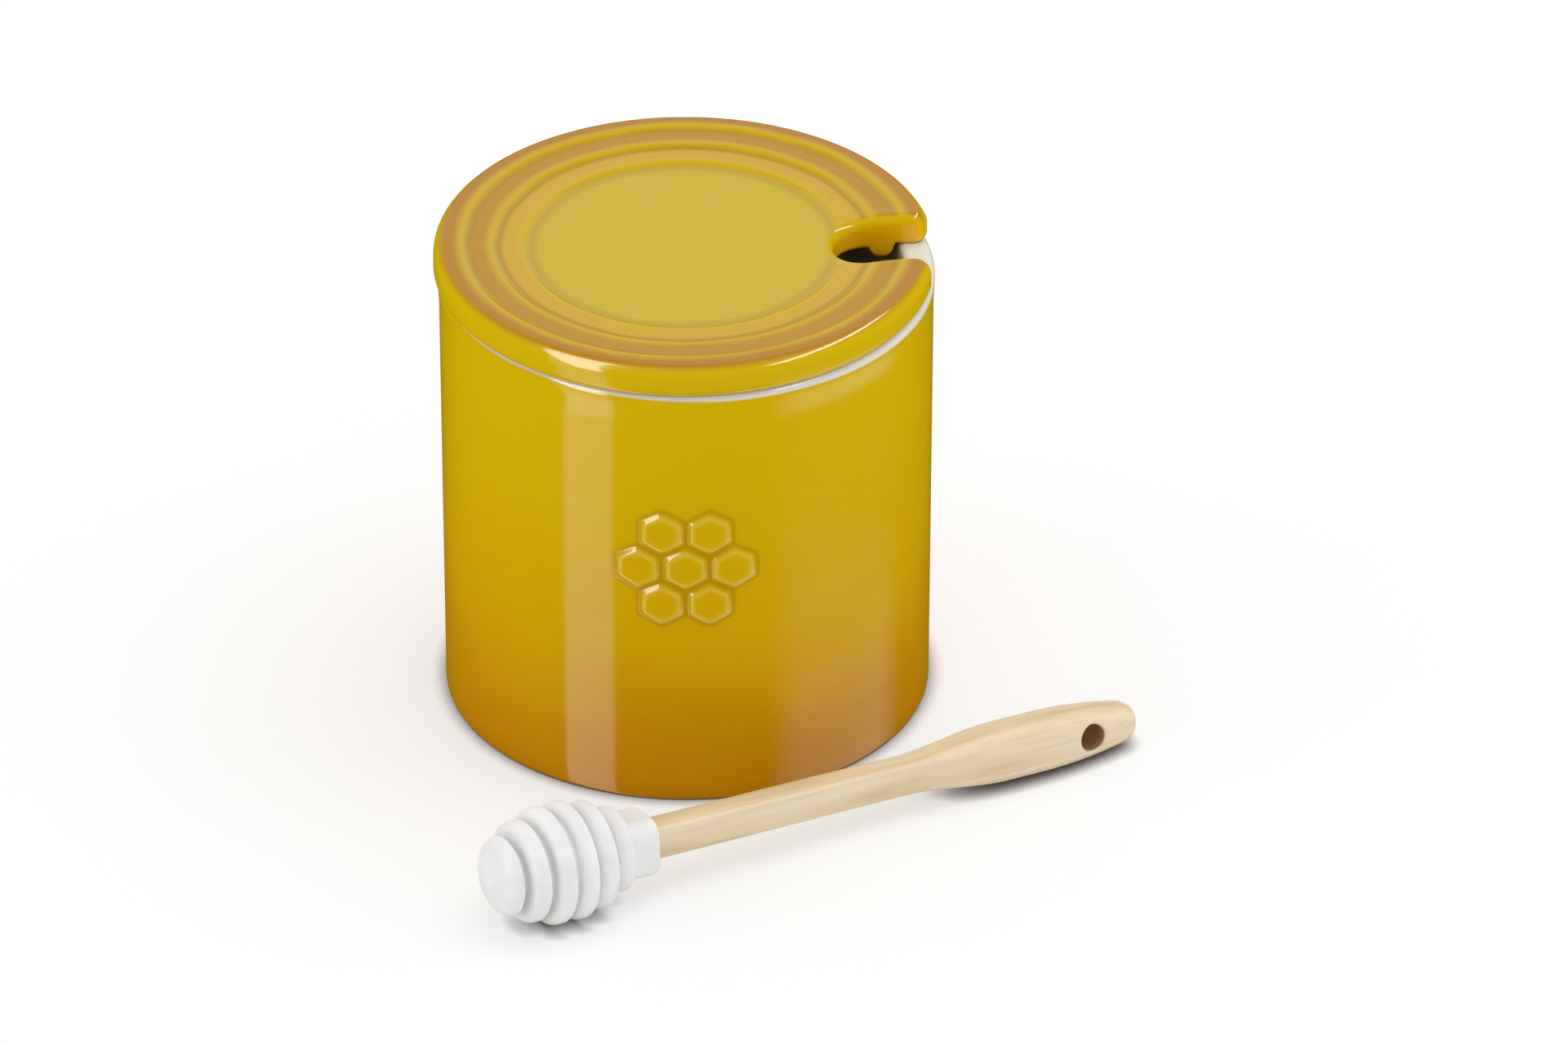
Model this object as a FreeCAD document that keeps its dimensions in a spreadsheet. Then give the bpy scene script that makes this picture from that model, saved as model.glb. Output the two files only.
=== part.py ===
import FreeCAD, Part
import math
import os
import re

import Sketcher

# Honey pot with a lift-off slotted lid and a honey dipper lying in front of it.
# Millimetres, +Z up, origin at the centre of the pot's foot, the pot's front towards -Y.

SIZES = {
    # pot
    "pot_height": 98.0,
    "pot_rim_radius": 51.3,
    "pot_rim_thickness": 6.4,
    "pot_flare": 0.4,
    "pot_flare_height": 6.0,
    "pot_draft": 0.7,
    "pot_inside_draft": 0.4,
    "pot_base_round": 1.0,
    "pot_floor_thickness": 7.0,
    "pot_floor_round": 6.0,
    "pot_rim_outer_round": 1.6,
    "pot_rim_inner_round": 1.4,
    "foot_width": 6.0,
    "foot_recess_depth": 1.0,
    "foot_recess_slope": 1.5,
    # raised honeycomb on the pot's front
    "comb_cell_radius": 4.9,
    "comb_cell_gap": 1.3,
    "comb_height": 56.6,
    "comb_relief": 0.8,
    "comb_root_cover": 1.0,
    # lid
    "lid_overhang": 0.3,
    "lid_edge_thickness": 6.7,
    "lid_top_round": 3.0,
    "lid_low_round": 1.6,
    "lid_plate_drop": 1.0,
    "lid_seat_shift": 0.4,
    "lid_band_width": 5.2,
    "lid_step_rise": 0.5,
    "lid_step_slope": 2.2,
    "lid_step_flat": 4.15,
    "ring_clearance": 0.8,
    "ring_width": 4.7,
    "ring_flat": 1.5,
    "ring_drop": 3.2,
    "notch_width": 15.2,
    "notch_length": 21.0,
    "notch_end_flat": 0.3,
    "notch_turn": 2.0,
    "notch_lip_round": 3.2,
    # dipper as a whole
    "dipper_heading": 29.5,
    "dipper_roll": 9.0,
    "dipper_wide_place_x": -27.0,
    "dipper_wide_place_y": -93.4,
    # dipper head
    "head_radius": 12.5,
    "head_wide_at": 15.5,
    "nose_radius": 8.3,
    "nose_thickness": 4.65,
    "nose_dome_depth": 2.6,
    "nose_slope": 3.7,
    "nose_crown_round": 12.0,
    "nose_edge_round": 1.1,
    "last_rib_radius": 9.0,
    "rib_thickness": 3.6,
    "rib_rim_flat": 1.2,
    "groove_width": 1.5,
    "groove_flat": 0.5,
    "groove_depth": 2.5,
    "collar_wall": 2.8,
    "collar_corner_round": 3.4,
    "collar_length": 7.25,
    "socket_clearance": 0.06,
    "socket_end_gap": 0.3,
    # dipper handle
    "shaft_side": 7.0,
    "shaft_corner_round": 0.85,
    "shaft_length": 59.6,
    "neck_side": 6.7,
    "grip_side": 11.9,
    "grip_flat": 2.4,
    "grip_rise_length": 24.0,
    "grip_length": 8.0,
    "grip_fall_length": 23.8,
    "butt_side": 6.9,
    "butt_flat": 1.4,
    "butt_round": 2.2,
    "hang_hole_radius": 2.9,
    "hang_hole_inset": 12.5,
}
RIB_COUNT = 5
COMB_ROWS = (2, 3, 2)
LID_STEP_COUNT = 3

doc = FreeCAD.newDocument("honey_pot")
sheet = doc.addObject("Spreadsheet::Sheet", "Sizes")
for row, (alias, size) in enumerate(SIZES.items(), start=1):
    sheet.set(f"A{row}", alias)
    sheet.set(f"B{row}", str(size))
    sheet.setAlias(f"B{row}", alias)
doc.recompute()


def cells(words):
    """An expression with each size's name turned into its cell of the sheet."""
    return re.sub(r"\b[a-z]\w*\b(?!\()", r"Sizes.\g<0>", words)


def value(words):
    """The number, in millimetres or degrees, that an expression of sizes comes to."""
    return float(sheet.evalExpression(cells(words)))


def bind(feature, path, words):
    """Ties one property of a feature, or one constraint of a sketch, to the sheet."""
    feature.setExpression(path, cells(words))


def origin_plane(body, role):
    """The plane of a body's own origin that has this role."""
    return next(plane for plane in body.Origin.OriginFeatures if plane.Role == role)


def new_sketch(body, name, role, lift="0", turn="0"):
    """A sketch on an origin plane, raised along its normal and turned about it."""
    sketch = body.newObject("Sketcher::SketchObject", name)
    sketch.AttachmentSupport = [(origin_plane(body, role), "")]
    sketch.MapMode = "FlatFace"
    quarter_turn = FreeCAD.Rotation(FreeCAD.Vector(0, 0, 1), value(turn))
    sketch.AttachmentOffset = FreeCAD.Placement(FreeCAD.Vector(0, 0, value(lift)), quarter_turn)
    bind(sketch, "AttachmentOffset.Base.z", lift)
    return sketch


def fix_point(sketch, geometry, end, words_x, words_y):
    """Holds one point of a sketch at a place worked out from the sheet."""
    for kind, words, axis in (("DistanceX", words_x, -2), ("DistanceY", words_y, -1)):
        if words == "0":
            sketch.addConstraint(Sketcher.Constraint("PointOnObject", geometry, end, axis))
        else:
            index = sketch.addConstraint(Sketcher.Constraint(kind, geometry, end, value(words)))
            bind(sketch, f"Constraints[{index}]", words)


def add_outline(sketch, corners):
    """A closed outline of straight runs; each corner is (x, y) or (x, y, rounding radius)."""
    count = len(corners)
    places = [FreeCAD.Vector(value(c[0]), value(c[1]), 0) for c in corners]
    entries, exits, arcs = [], [], {}
    for i, corner in enumerate(corners):
        here = places[i]
        if len(corner) < 3:
            entries.append(here)
            exits.append(here)
            continue
        back = (places[i - 1] - here).normalize()
        ahead = (places[(i + 1) % count] - here).normalize()
        radius = value(corner[2])
        half_angle = back.getAngle(ahead) / 2
        reach = radius / math.tan(half_angle)
        centre = here + (back + ahead).normalize() * (radius / math.sin(half_angle))
        entries.append(here + back * reach)
        exits.append(here + ahead * reach)
        turns_left = back.cross(ahead).z < 0
        first, last = (entries[i], exits[i]) if turns_left else (exits[i], entries[i])
        angles = [math.atan2(p.y - centre.y, p.x - centre.x) for p in (first, last)]
        circle = Part.Circle(centre, FreeCAD.Vector(0, 0, 1), radius)
        arcs[i] = (Part.ArcOfCircle(circle, *angles), turns_left)
    lines = [
        sketch.addGeometry(Part.LineSegment(exits[i], entries[(i + 1) % count]), False)
        for i in range(count)
    ]
    for i, corner in enumerate(corners):
        before, after = lines[i - 1], lines[i]
        if i not in arcs:
            sketch.addConstraint(Sketcher.Constraint("Coincident", before, 2, after, 1))
            fix_point(sketch, after, 1, corner[0], corner[1])
            continue
        shape, turns_left = arcs[i]
        arc = sketch.addGeometry(shape, False)
        entry_end, exit_end = (1, 2) if turns_left else (2, 1)
        apex = sketch.addGeometry(Part.Point(places[i]), True)
        sketch.addConstraint(Sketcher.Constraint("Tangent", before, 2, arc, entry_end))
        sketch.addConstraint(Sketcher.Constraint("Tangent", arc, exit_end, after, 1))
        sketch.addConstraint(Sketcher.Constraint("PointOnObject", apex, 1, before))
        sketch.addConstraint(Sketcher.Constraint("PointOnObject", apex, 1, after))
        fix_point(sketch, apex, 1, corner[0], corner[1])
        index = sketch.addConstraint(Sketcher.Constraint("Radius", arc, value(corner[2])))
        bind(sketch, f"Constraints[{index}]", corner[2])


def add_circle(sketch, words_x, words_radius):
    """A full circle centred on the sketch's own first axis."""
    centre = FreeCAD.Vector(value(words_x), 0, 0)
    circle = Part.Circle(centre, FreeCAD.Vector(0, 0, 1), value(words_radius))
    geometry = sketch.addGeometry(circle, False)
    fix_point(sketch, geometry, 3, words_x, "0")
    index = sketch.addConstraint(Sketcher.Constraint("Radius", geometry, value(words_radius)))
    bind(sketch, f"Constraints[{index}]", words_radius)


def new_body(label):
    """An empty body whose label names the piece."""
    body = doc.addObject("PartDesign::Body", label)
    body.Label = label
    return body


def turned(body, kind, name, sketch, axis):
    """A full turn of a sketch about one of its own axes, added to the body or cut from it."""
    feature = body.newObject(f"PartDesign::{kind}", name)
    feature.Profile = sketch
    feature.ReferenceAxis = (sketch, [axis])
    feature.Angle = 360
    doc.recompute()
    return feature


def straight(body, kind, name, sketch, length, reversed_way=False):
    """A sketch pushed straight along its normal, added to the body or cut from it."""
    feature = body.newObject(f"PartDesign::{kind}", name)
    feature.Profile = sketch
    bind(feature, "Length", length)
    feature.Reversed = reversed_way
    doc.recompute()
    return feature


def square_corners(side, rounding):
    """The four corners of a rounded square, from its side and its corners' radius."""
    half = f"({side}) / 2"
    signs = ((-1, -1), (1, -1), (1, 1), (-1, 1))
    return [(f"{a} * {half}", f"{b} * {half}", rounding) for a, b in signs]


# Pot: a turned vessel with a slightly flared wall, a flat-topped rim and a foot ring

wall_radius = "(pot_rim_radius - pot_flare)"
base_radius = f"({wall_radius} - pot_draft)"
mouth_radius = "(pot_rim_radius - pot_rim_thickness)"
foot_outer = f"{base_radius} - pot_base_round"
foot_inner = f"{foot_outer} - foot_width"
flare_start = "(pot_height - pot_flare_height)"

pot = new_body("pot")
pot_section = new_sketch(pot, "pot_section", "XZ_Plane")
add_outline(
    pot_section,
    [
        ("0", "foot_recess_depth"),
        (f"{foot_inner} - foot_recess_slope", "foot_recess_depth"),
        (foot_inner, "0"),
        (base_radius, "0", "pot_base_round"),
        (wall_radius, flare_start),
        ("pot_rim_radius", "pot_height", "pot_rim_outer_round"),
        (mouth_radius, "pot_height", "pot_rim_inner_round"),
        (f"{mouth_radius} - pot_inside_draft", "pot_floor_thickness", "pot_floor_round"),
        ("0", "pot_floor_thickness"),
    ],
)
turned(pot, "Revolution", "vessel", pot_section, "V_Axis")

# Honeycomb relief: hexagon cells stand out of the front wall and are turned back to an even height

cell_step_x = "(comb_cell_radius * sqrt(3) + comb_cell_gap)"
cell_step_z = f"({cell_step_x} * sqrt(3) / 2)"
comb_reach = f"({cell_step_z} + comb_cell_radius + comb_cell_gap)"
comb_plane = f"({mouth_radius} + comb_root_cover)"
comb_far = "(pot_rim_radius + comb_relief + comb_root_cover)"

comb_sketch = new_sketch(pot, "comb_sketch", "XZ_Plane", lift=comb_plane)
for row, cell_count in enumerate(COMB_ROWS):
    centre_z = f"comb_height + {row - (len(COMB_ROWS) - 1) / 2} * {cell_step_z}"
    for column in range(cell_count):
        centre_x = f"{column - (cell_count - 1) / 2} * {cell_step_x}"
        cell = [
            (f"{centre_x} + comb_cell_radius * sin({angle})", f"{centre_z} + comb_cell_radius * cos({angle})")
            for angle in range(0, 360, 60)
        ]
        add_outline(comb_sketch, cell)
straight(pot, "Pad", "comb_cells", comb_sketch, f"{comb_far} - {comb_plane}")


def comb_face(height):
    """The radius of the honeycomb's outer face at a height, one relief outside the wall."""
    return f"{base_radius} + ({height}) / {flare_start} * pot_draft + comb_relief"


comb_low = f"comb_height - {comb_reach}"
comb_high = f"comb_height + {comb_reach}"
comb_trim_far = f"{comb_far} + comb_cell_radius"
comb_trim_section = new_sketch(pot, "comb_trim_section", "XZ_Plane")
comb_trim = [
    (comb_face(comb_low), comb_low),
    (comb_trim_far, comb_low),
    (comb_trim_far, comb_high),
    (comb_face(comb_high), comb_high),
]
add_outline(comb_trim_section, comb_trim)
turned(pot, "Groove", "comb_trim", comb_trim_section, "V_Axis")

# Lid: a turned disc with three steps down to its middle, a locating ring and a radial slot

lid_radius = "(pot_rim_radius + lid_overhang)"
lid_top = "lid_edge_thickness"
ring_outer = f"({mouth_radius} - ring_clearance)"
ring_inner = f"({ring_outer} - ring_width)"
ring_round = "(ring_width - ring_flat) / 2"

lid = new_body("lid")
lid_section = new_sketch(lid, "lid_section", "XZ_Plane")
steps = []
for index in range(LID_STEP_COUNT):
    crest = f"{lid_radius} - lid_band_width - {index} * (lid_step_slope + lid_step_flat)"
    steps.append((crest, f"{lid_top} - {index} * lid_step_rise"))
    steps.append((f"{crest} - lid_step_slope", f"{lid_top} - {index + 1} * lid_step_rise"))
add_outline(
    lid_section,
    [
        ("0", f"{lid_top} - {LID_STEP_COUNT} * lid_step_rise"),
        ("0", "-1 * lid_plate_drop"),
        (ring_inner, "-1 * lid_plate_drop"),
        (ring_inner, "-1 * ring_drop", ring_round),
        (ring_outer, "-1 * ring_drop", ring_round),
        (ring_outer, "0"),
        (lid_radius, "0", "lid_low_round"),
        (lid_radius, lid_top, "lid_top_round"),
        *steps,
    ],
)
turned(lid, "Revolution", "lid_disc", lid_section, "V_Axis")

notch_half = "notch_width / 2"
notch_end = f"{lid_radius} - notch_length"
notch_end_round = "(notch_width - notch_end_flat) / 2"
lip_reach = f"sqrt({lid_radius}^2 - (notch_width / 2)^2)"
lip_side = "(notch_width / 2 + 2 * notch_lip_round)"
notch_far = f"{lid_radius} + notch_lip_round"
notch_sketch = new_sketch(lid, "notch_sketch", "XY_Plane", lift=lid_top, turn="notch_turn")
far_wall = [
    (notch_end, notch_half, notch_end_round),
    (lip_reach, notch_half, "notch_lip_round"),
    (lip_reach, lip_side),
    (notch_far, lip_side),
]
near_wall = [(x, f"-1 * {y}", *rounding) for x, y, *rounding in reversed(far_wall)]
add_outline(notch_sketch, [*near_wall, *far_wall])
straight(lid, "Pocket", "notch", notch_sketch, f"{lid_top} + ring_drop + notch_lip_round")
lid.Placement.Base = FreeCAD.Vector(-value("lid_seat_shift"), 0, value("pot_height"))

# Dipper head: solid ribs under a soft oval envelope, and behind them a squared collar open to the handle

rib_step = "(rib_thickness + groove_width)"
first_rib = "nose_thickness + groove_width + rib_thickness / 2"
rib_places = [f"({first_rib} + {index} * {rib_step})" for index in range(RIB_COUNT)]
collar_start = f"({rib_places[-1]} + rib_thickness / 2)"
collar_end = f"({collar_start} + collar_length)"
collar_side = "(shaft_side + 2 * collar_wall)"


def envelope(place):
    """The head's outer radius at a place: half ovals from the widest place through nose and last rib."""
    end_place, end_radius = rib_places[-1], "last_rib_radius"
    if value(place) < value("head_wide_at"):
        end_place, end_radius = "nose_thickness", "nose_radius"
    share = f"({place} - head_wide_at) / ({end_place} - head_wide_at)"
    return f"head_radius * sqrt(1 - (1 - ({end_radius} / head_radius)^2) * ({share})^2)"


rib_radii = [envelope(place) for place in rib_places]
groove_floors = ["(nose_radius - groove_depth)"]
for radius, next_radius in zip(rib_radii, rib_radii[1:]):
    lower = radius if value(radius) < value(next_radius) else next_radius
    groove_floors.append(f"({lower} - groove_depth)")
groove_round = "(groove_width - groove_flat) / 2"
rim_round = "(rib_thickness - rib_rim_flat) / 2"

head = new_body("dipper_head")
head_section = new_sketch(head, "head_section", "XY_Plane")
head_outline = [
    ("0", "0"),
    ("0", "nose_radius - nose_slope", "nose_crown_round"),
    ("nose_dome_depth", "nose_radius", "nose_edge_round"),
    ("nose_thickness", "nose_radius", groove_round),
    ("nose_thickness", groove_floors[0], groove_round),
]
for index, place in enumerate(rib_places):
    front = f"{place} - rib_thickness / 2"
    back = f"{place} + rib_thickness / 2"
    head_outline += [
        (front, groove_floors[index], groove_round),
        (front, rib_radii[index], rim_round),
        (back, rib_radii[index], rim_round),
    ]
    if place != rib_places[-1]:
        head_outline.append((back, groove_floors[index + 1], groove_round))
head_outline.append((collar_start, "0"))
add_outline(head_section, head_outline)
turned(head, "Revolution", "ribs", head_section, "H_Axis")

collar = new_body("dipper_collar")
collar_sketch = new_sketch(collar, "collar_sketch", "YZ_Plane", lift=collar_start)
add_outline(collar_sketch, square_corners(collar_side, "collar_corner_round"))
socket_corners = square_corners("shaft_side + 2 * socket_clearance", "shaft_corner_round + socket_clearance")
add_outline(collar_sketch, socket_corners)
straight(collar, "Pad", "collar_sleeve", collar_sketch, "collar_length")

# Dipper handle: a squared shaft whose end plugs into the collar, and which swells to a round grip

neck_at = f"({collar_end} + shaft_length)"
grip_start = f"({neck_at} + grip_rise_length)"
grip_end = f"({grip_start} + grip_length)"
dipper_end = f"({grip_end} + grip_fall_length)"
grip_round = "(grip_side - grip_flat) / 2"
butt_corner_round = "(butt_side - butt_flat) / 2"

handle = new_body("dipper_handle")


def handle_section(name, place, side, rounding):
    """A rounded-square section across the handle at a place along its axis."""
    section = new_sketch(handle, f"section_{name}", "YZ_Plane", lift=place)
    add_outline(section, square_corners(side, rounding))
    return section


def handle_loft(name, sections, straight_runs):
    """A stretch of the handle through its sections, in straight runs or one smooth sweep."""
    loft = handle.newObject("PartDesign::AdditiveLoft", name)
    loft.Profile = sections[0]
    loft.Sections = sections[1:]
    loft.Ruled = straight_runs
    doc.recompute()
    return loft


plug_section = handle_section("plug", f"{collar_start} + socket_end_gap", "shaft_side", "shaft_corner_round")
straight(handle, "Pad", "plug", plug_section, "collar_length - socket_end_gap")
shaft_sections = [
    handle_section("collar_mouth", collar_end, "shaft_side", "shaft_corner_round"),
    handle_section("shaft_end", neck_at, "neck_side", "shaft_corner_round"),
]
handle_loft("shaft", shaft_sections, straight_runs=True)

grip_sections = []
for quarter in range(5):
    share = quarter / 4
    ease = share * share * (3 - 2 * share)
    grip_sections.append(handle_section(
        f"rise_{quarter}",
        f"{neck_at} + {share} * grip_rise_length",
        f"neck_side + {ease} * (grip_side - neck_side)",
        f"shaft_corner_round + {ease} * ({grip_round} - shaft_corner_round)",
    ))
for quarter in range(5):
    share = quarter / 4
    fall = share * share
    grip_sections.append(handle_section(
        f"fall_{quarter}",
        f"{grip_end} + {share} * grip_fall_length",
        f"grip_side + {fall} * (butt_side - grip_side)",
        f"{grip_round} + {fall} * ({butt_corner_round} - {grip_round})",
    ))
grip = handle_loft("grip", grip_sections, straight_runs=False)

END_TOLERANCE = 0.2
butt_edges = [
    f"Edge{number}"
    for number, edge in enumerate(grip.Shape.Edges, start=1)
    if edge.BoundBox.XMin > value(dipper_end) - END_TOLERANCE
]
butt = handle.newObject("PartDesign::Fillet", "butt_softened")
butt.Base = (grip, butt_edges)
bind(butt, "Radius", "butt_round")
doc.recompute()

hole_place = f"{dipper_end} - hang_hole_inset"
hole_sketch = new_sketch(handle, "hole_sketch", "XZ_Plane", lift="-1 * grip_side")
add_circle(hole_sketch, hole_place, "hang_hole_radius")
straight(handle, "Pocket", "hang_hole", hole_sketch, "2 * grip_side", reversed_way=True)

# The dipper lies on the table: its head is let down on a rib, and its grip is then let down too

SETTLING_STEPS = 4
lever = value(f"({grip_start} + {grip_end}) / 2 - head_wide_at")
wide_place = FreeCAD.Vector(value("dipper_wide_place_x"), value("dipper_wide_place_y"), value("head_radius"))
drop = value("head_radius - grip_side / 2")


def lowest(body, placement):
    """The lowest height that a body reaches at a placement."""
    shape = body.Shape.copy()
    shape.Placement = placement
    return shape.optimalBoundingBox(False, False).ZMin


def lying():
    """The dipper's placement with its widest place and its fall from head to grip as they stand."""
    pitch = math.degrees(math.asin(drop / lever))
    turn = FreeCAD.Rotation(value("dipper_heading"), pitch, -value("dipper_roll"))
    tip = wide_place - turn.multVec(FreeCAD.Vector(value("head_wide_at"), 0, 0))
    return FreeCAD.Placement(tip, turn)


for step in range(SETTLING_STEPS):
    wide_place.z -= lowest(head, lying())
    drop += lowest(handle, lying())
for body in (handle, head, collar):
    body.Placement = lying()

doc.recompute()
pieces = (pot, lid, handle, head, collar)
for item in doc.Objects:
    if {"Invalid", "Error"} & set(item.State):
        raise RuntimeError(f"{item.Label} failed: {item.State}")
for body in pieces:
    shape = body.Shape
    if shape.isNull() or not shape.isValid() or len(shape.Solids) != 1:
        raise RuntimeError(f"{body.Label} is not one valid solid")
os.makedirs("parts", exist_ok=True)
for body in pieces:
    body.Shape.exportStep(f"parts/{body.Label}.step")
    box = body.Shape.optimalBoundingBox(False, False)
    corners = [round(x, 2) for x in (box.XMin, box.XMax, box.YMin, box.YMax, box.ZMin, box.ZMax)]
    print(body.Label, "volume", round(body.Shape.Volume, 1), "box", corners)
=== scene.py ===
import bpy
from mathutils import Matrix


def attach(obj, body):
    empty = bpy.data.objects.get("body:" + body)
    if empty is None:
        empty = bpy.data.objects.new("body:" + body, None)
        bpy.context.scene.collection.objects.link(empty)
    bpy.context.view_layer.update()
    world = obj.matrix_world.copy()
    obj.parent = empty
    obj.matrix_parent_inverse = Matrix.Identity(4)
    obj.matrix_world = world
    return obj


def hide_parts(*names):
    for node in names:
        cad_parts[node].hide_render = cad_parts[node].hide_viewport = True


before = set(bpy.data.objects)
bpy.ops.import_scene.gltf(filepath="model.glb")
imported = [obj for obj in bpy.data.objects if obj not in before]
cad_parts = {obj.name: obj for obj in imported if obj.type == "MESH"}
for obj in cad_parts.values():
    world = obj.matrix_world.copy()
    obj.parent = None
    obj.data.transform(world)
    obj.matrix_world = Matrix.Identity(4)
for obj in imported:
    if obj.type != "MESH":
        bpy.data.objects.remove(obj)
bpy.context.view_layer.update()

import logging
import math
from collections.abc import Callable, Sequence
from dataclasses import dataclass, field
from enum import Enum

import bmesh
import bpy
from mathutils import Euler, Matrix, Vector
from mathutils.geometry import delaunay_2d_cdt

# A glazed stoneware honey pot with a slotted lift-off lid, and a honey dipper lying in front of it.
# Sizes are written in millimetres and turned to metres where a mesh, a lamp or a node takes them.

LOG = logging.getLogger("honey_pot")
MM = 0.001
SIN_60 = 0.866
WHITE = "#ffffff"
NOISE_SPAN = (0.3, 0.7)
CARD_EDGE = 0.5
TOUCH = 0.01
DOUBLES = 0.001
FILL_INSIDE = 1
FILL_TOUCH = 1e-6

Point = tuple[float, float]
Corner = tuple[float, ...]
Triple = tuple[float, float, float]
Colour = tuple[float, float, float, float]
Piece = bpy.types.Object
Material = bpy.types.Material
NodeTree = bpy.types.NodeTree
Socket = bpy.types.NodeSocket
Sockets = bpy.types.bpy_prop_collection
Vert = bmesh.types.BMVert
Walk = list[tuple[Vector, Vector, float]]


def linear(code: str) -> Colour:
    """Turns an sRGB hex colour into the linear colour that a shader takes.

    Args:
        code: Six hex digits after a hash sign.

    Returns:
        Red, green and blue in linear light, and an alpha of one.
    """
    shares = [int(code[i:i + 2], 16) / 255 for i in (1, 3, 5)]
    red, green, blue = (s / 12.92 if s <= 0.04045 else ((s + 0.055) / 1.055) ** 2.4 for s in shares)
    return red, green, blue, 1.0


def smooth(low: float, high: float, value: float) -> float:
    """Eases from 0 at the low value to 1 at the high one."""
    share = min(max((value - low) / (high - low), 0.0), 1.0)
    return share * share * (3 - 2 * share)


def bell(value: float, peak: float, middle: float, width: float) -> float:
    """Rises to a peak at a middle value and falls away on both sides of it."""
    return peak * math.exp(-((value - middle) / width) ** 2)


def metres(lengths: Sequence[float]) -> tuple[float, ...]:
    """Turns millimetres to metres."""
    return tuple(length * MM for length in lengths)


def add_node(
    tree: NodeTree,
    kind: str,
    inputs: dict | None = None,
    settings: dict | None = None,
    stops: Sequence[tuple[float, str]] = (),
) -> bpy.types.Node:
    """Adds a node with its settings, its ramp's stops and its links.

    Args:
        tree: The node tree that takes the node.
        kind: Blender's name for the kind of node.
        inputs: Values or sockets for the node's inputs, by name or number.
        settings: Values for the node's own properties.
        stops: Places and hex colours for a colour ramp.

    Returns:
        The new node.
    """
    node = tree.nodes.new(kind)
    for name, setting in (settings or {}).items():
        setattr(node, name, setting)
    for name, given in (inputs or {}).items():
        if isinstance(given, Socket):
            tree.links.new(given, node.inputs[name])
        else:
            node.inputs[name].default_value = given
    if stops:
        elements = node.color_ramp.elements
        while len(elements) < len(stops):
            elements.new(0.5)
        for element, (place, code) in zip(elements, stops):
            element.position = place
            element.color = linear(code)
    return node


class Ease(Enum):
    """How a value runs between the two ends of a span."""

    STRAIGHT = "LINEAR"
    SOFT = "SMOOTHSTEP"


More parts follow.
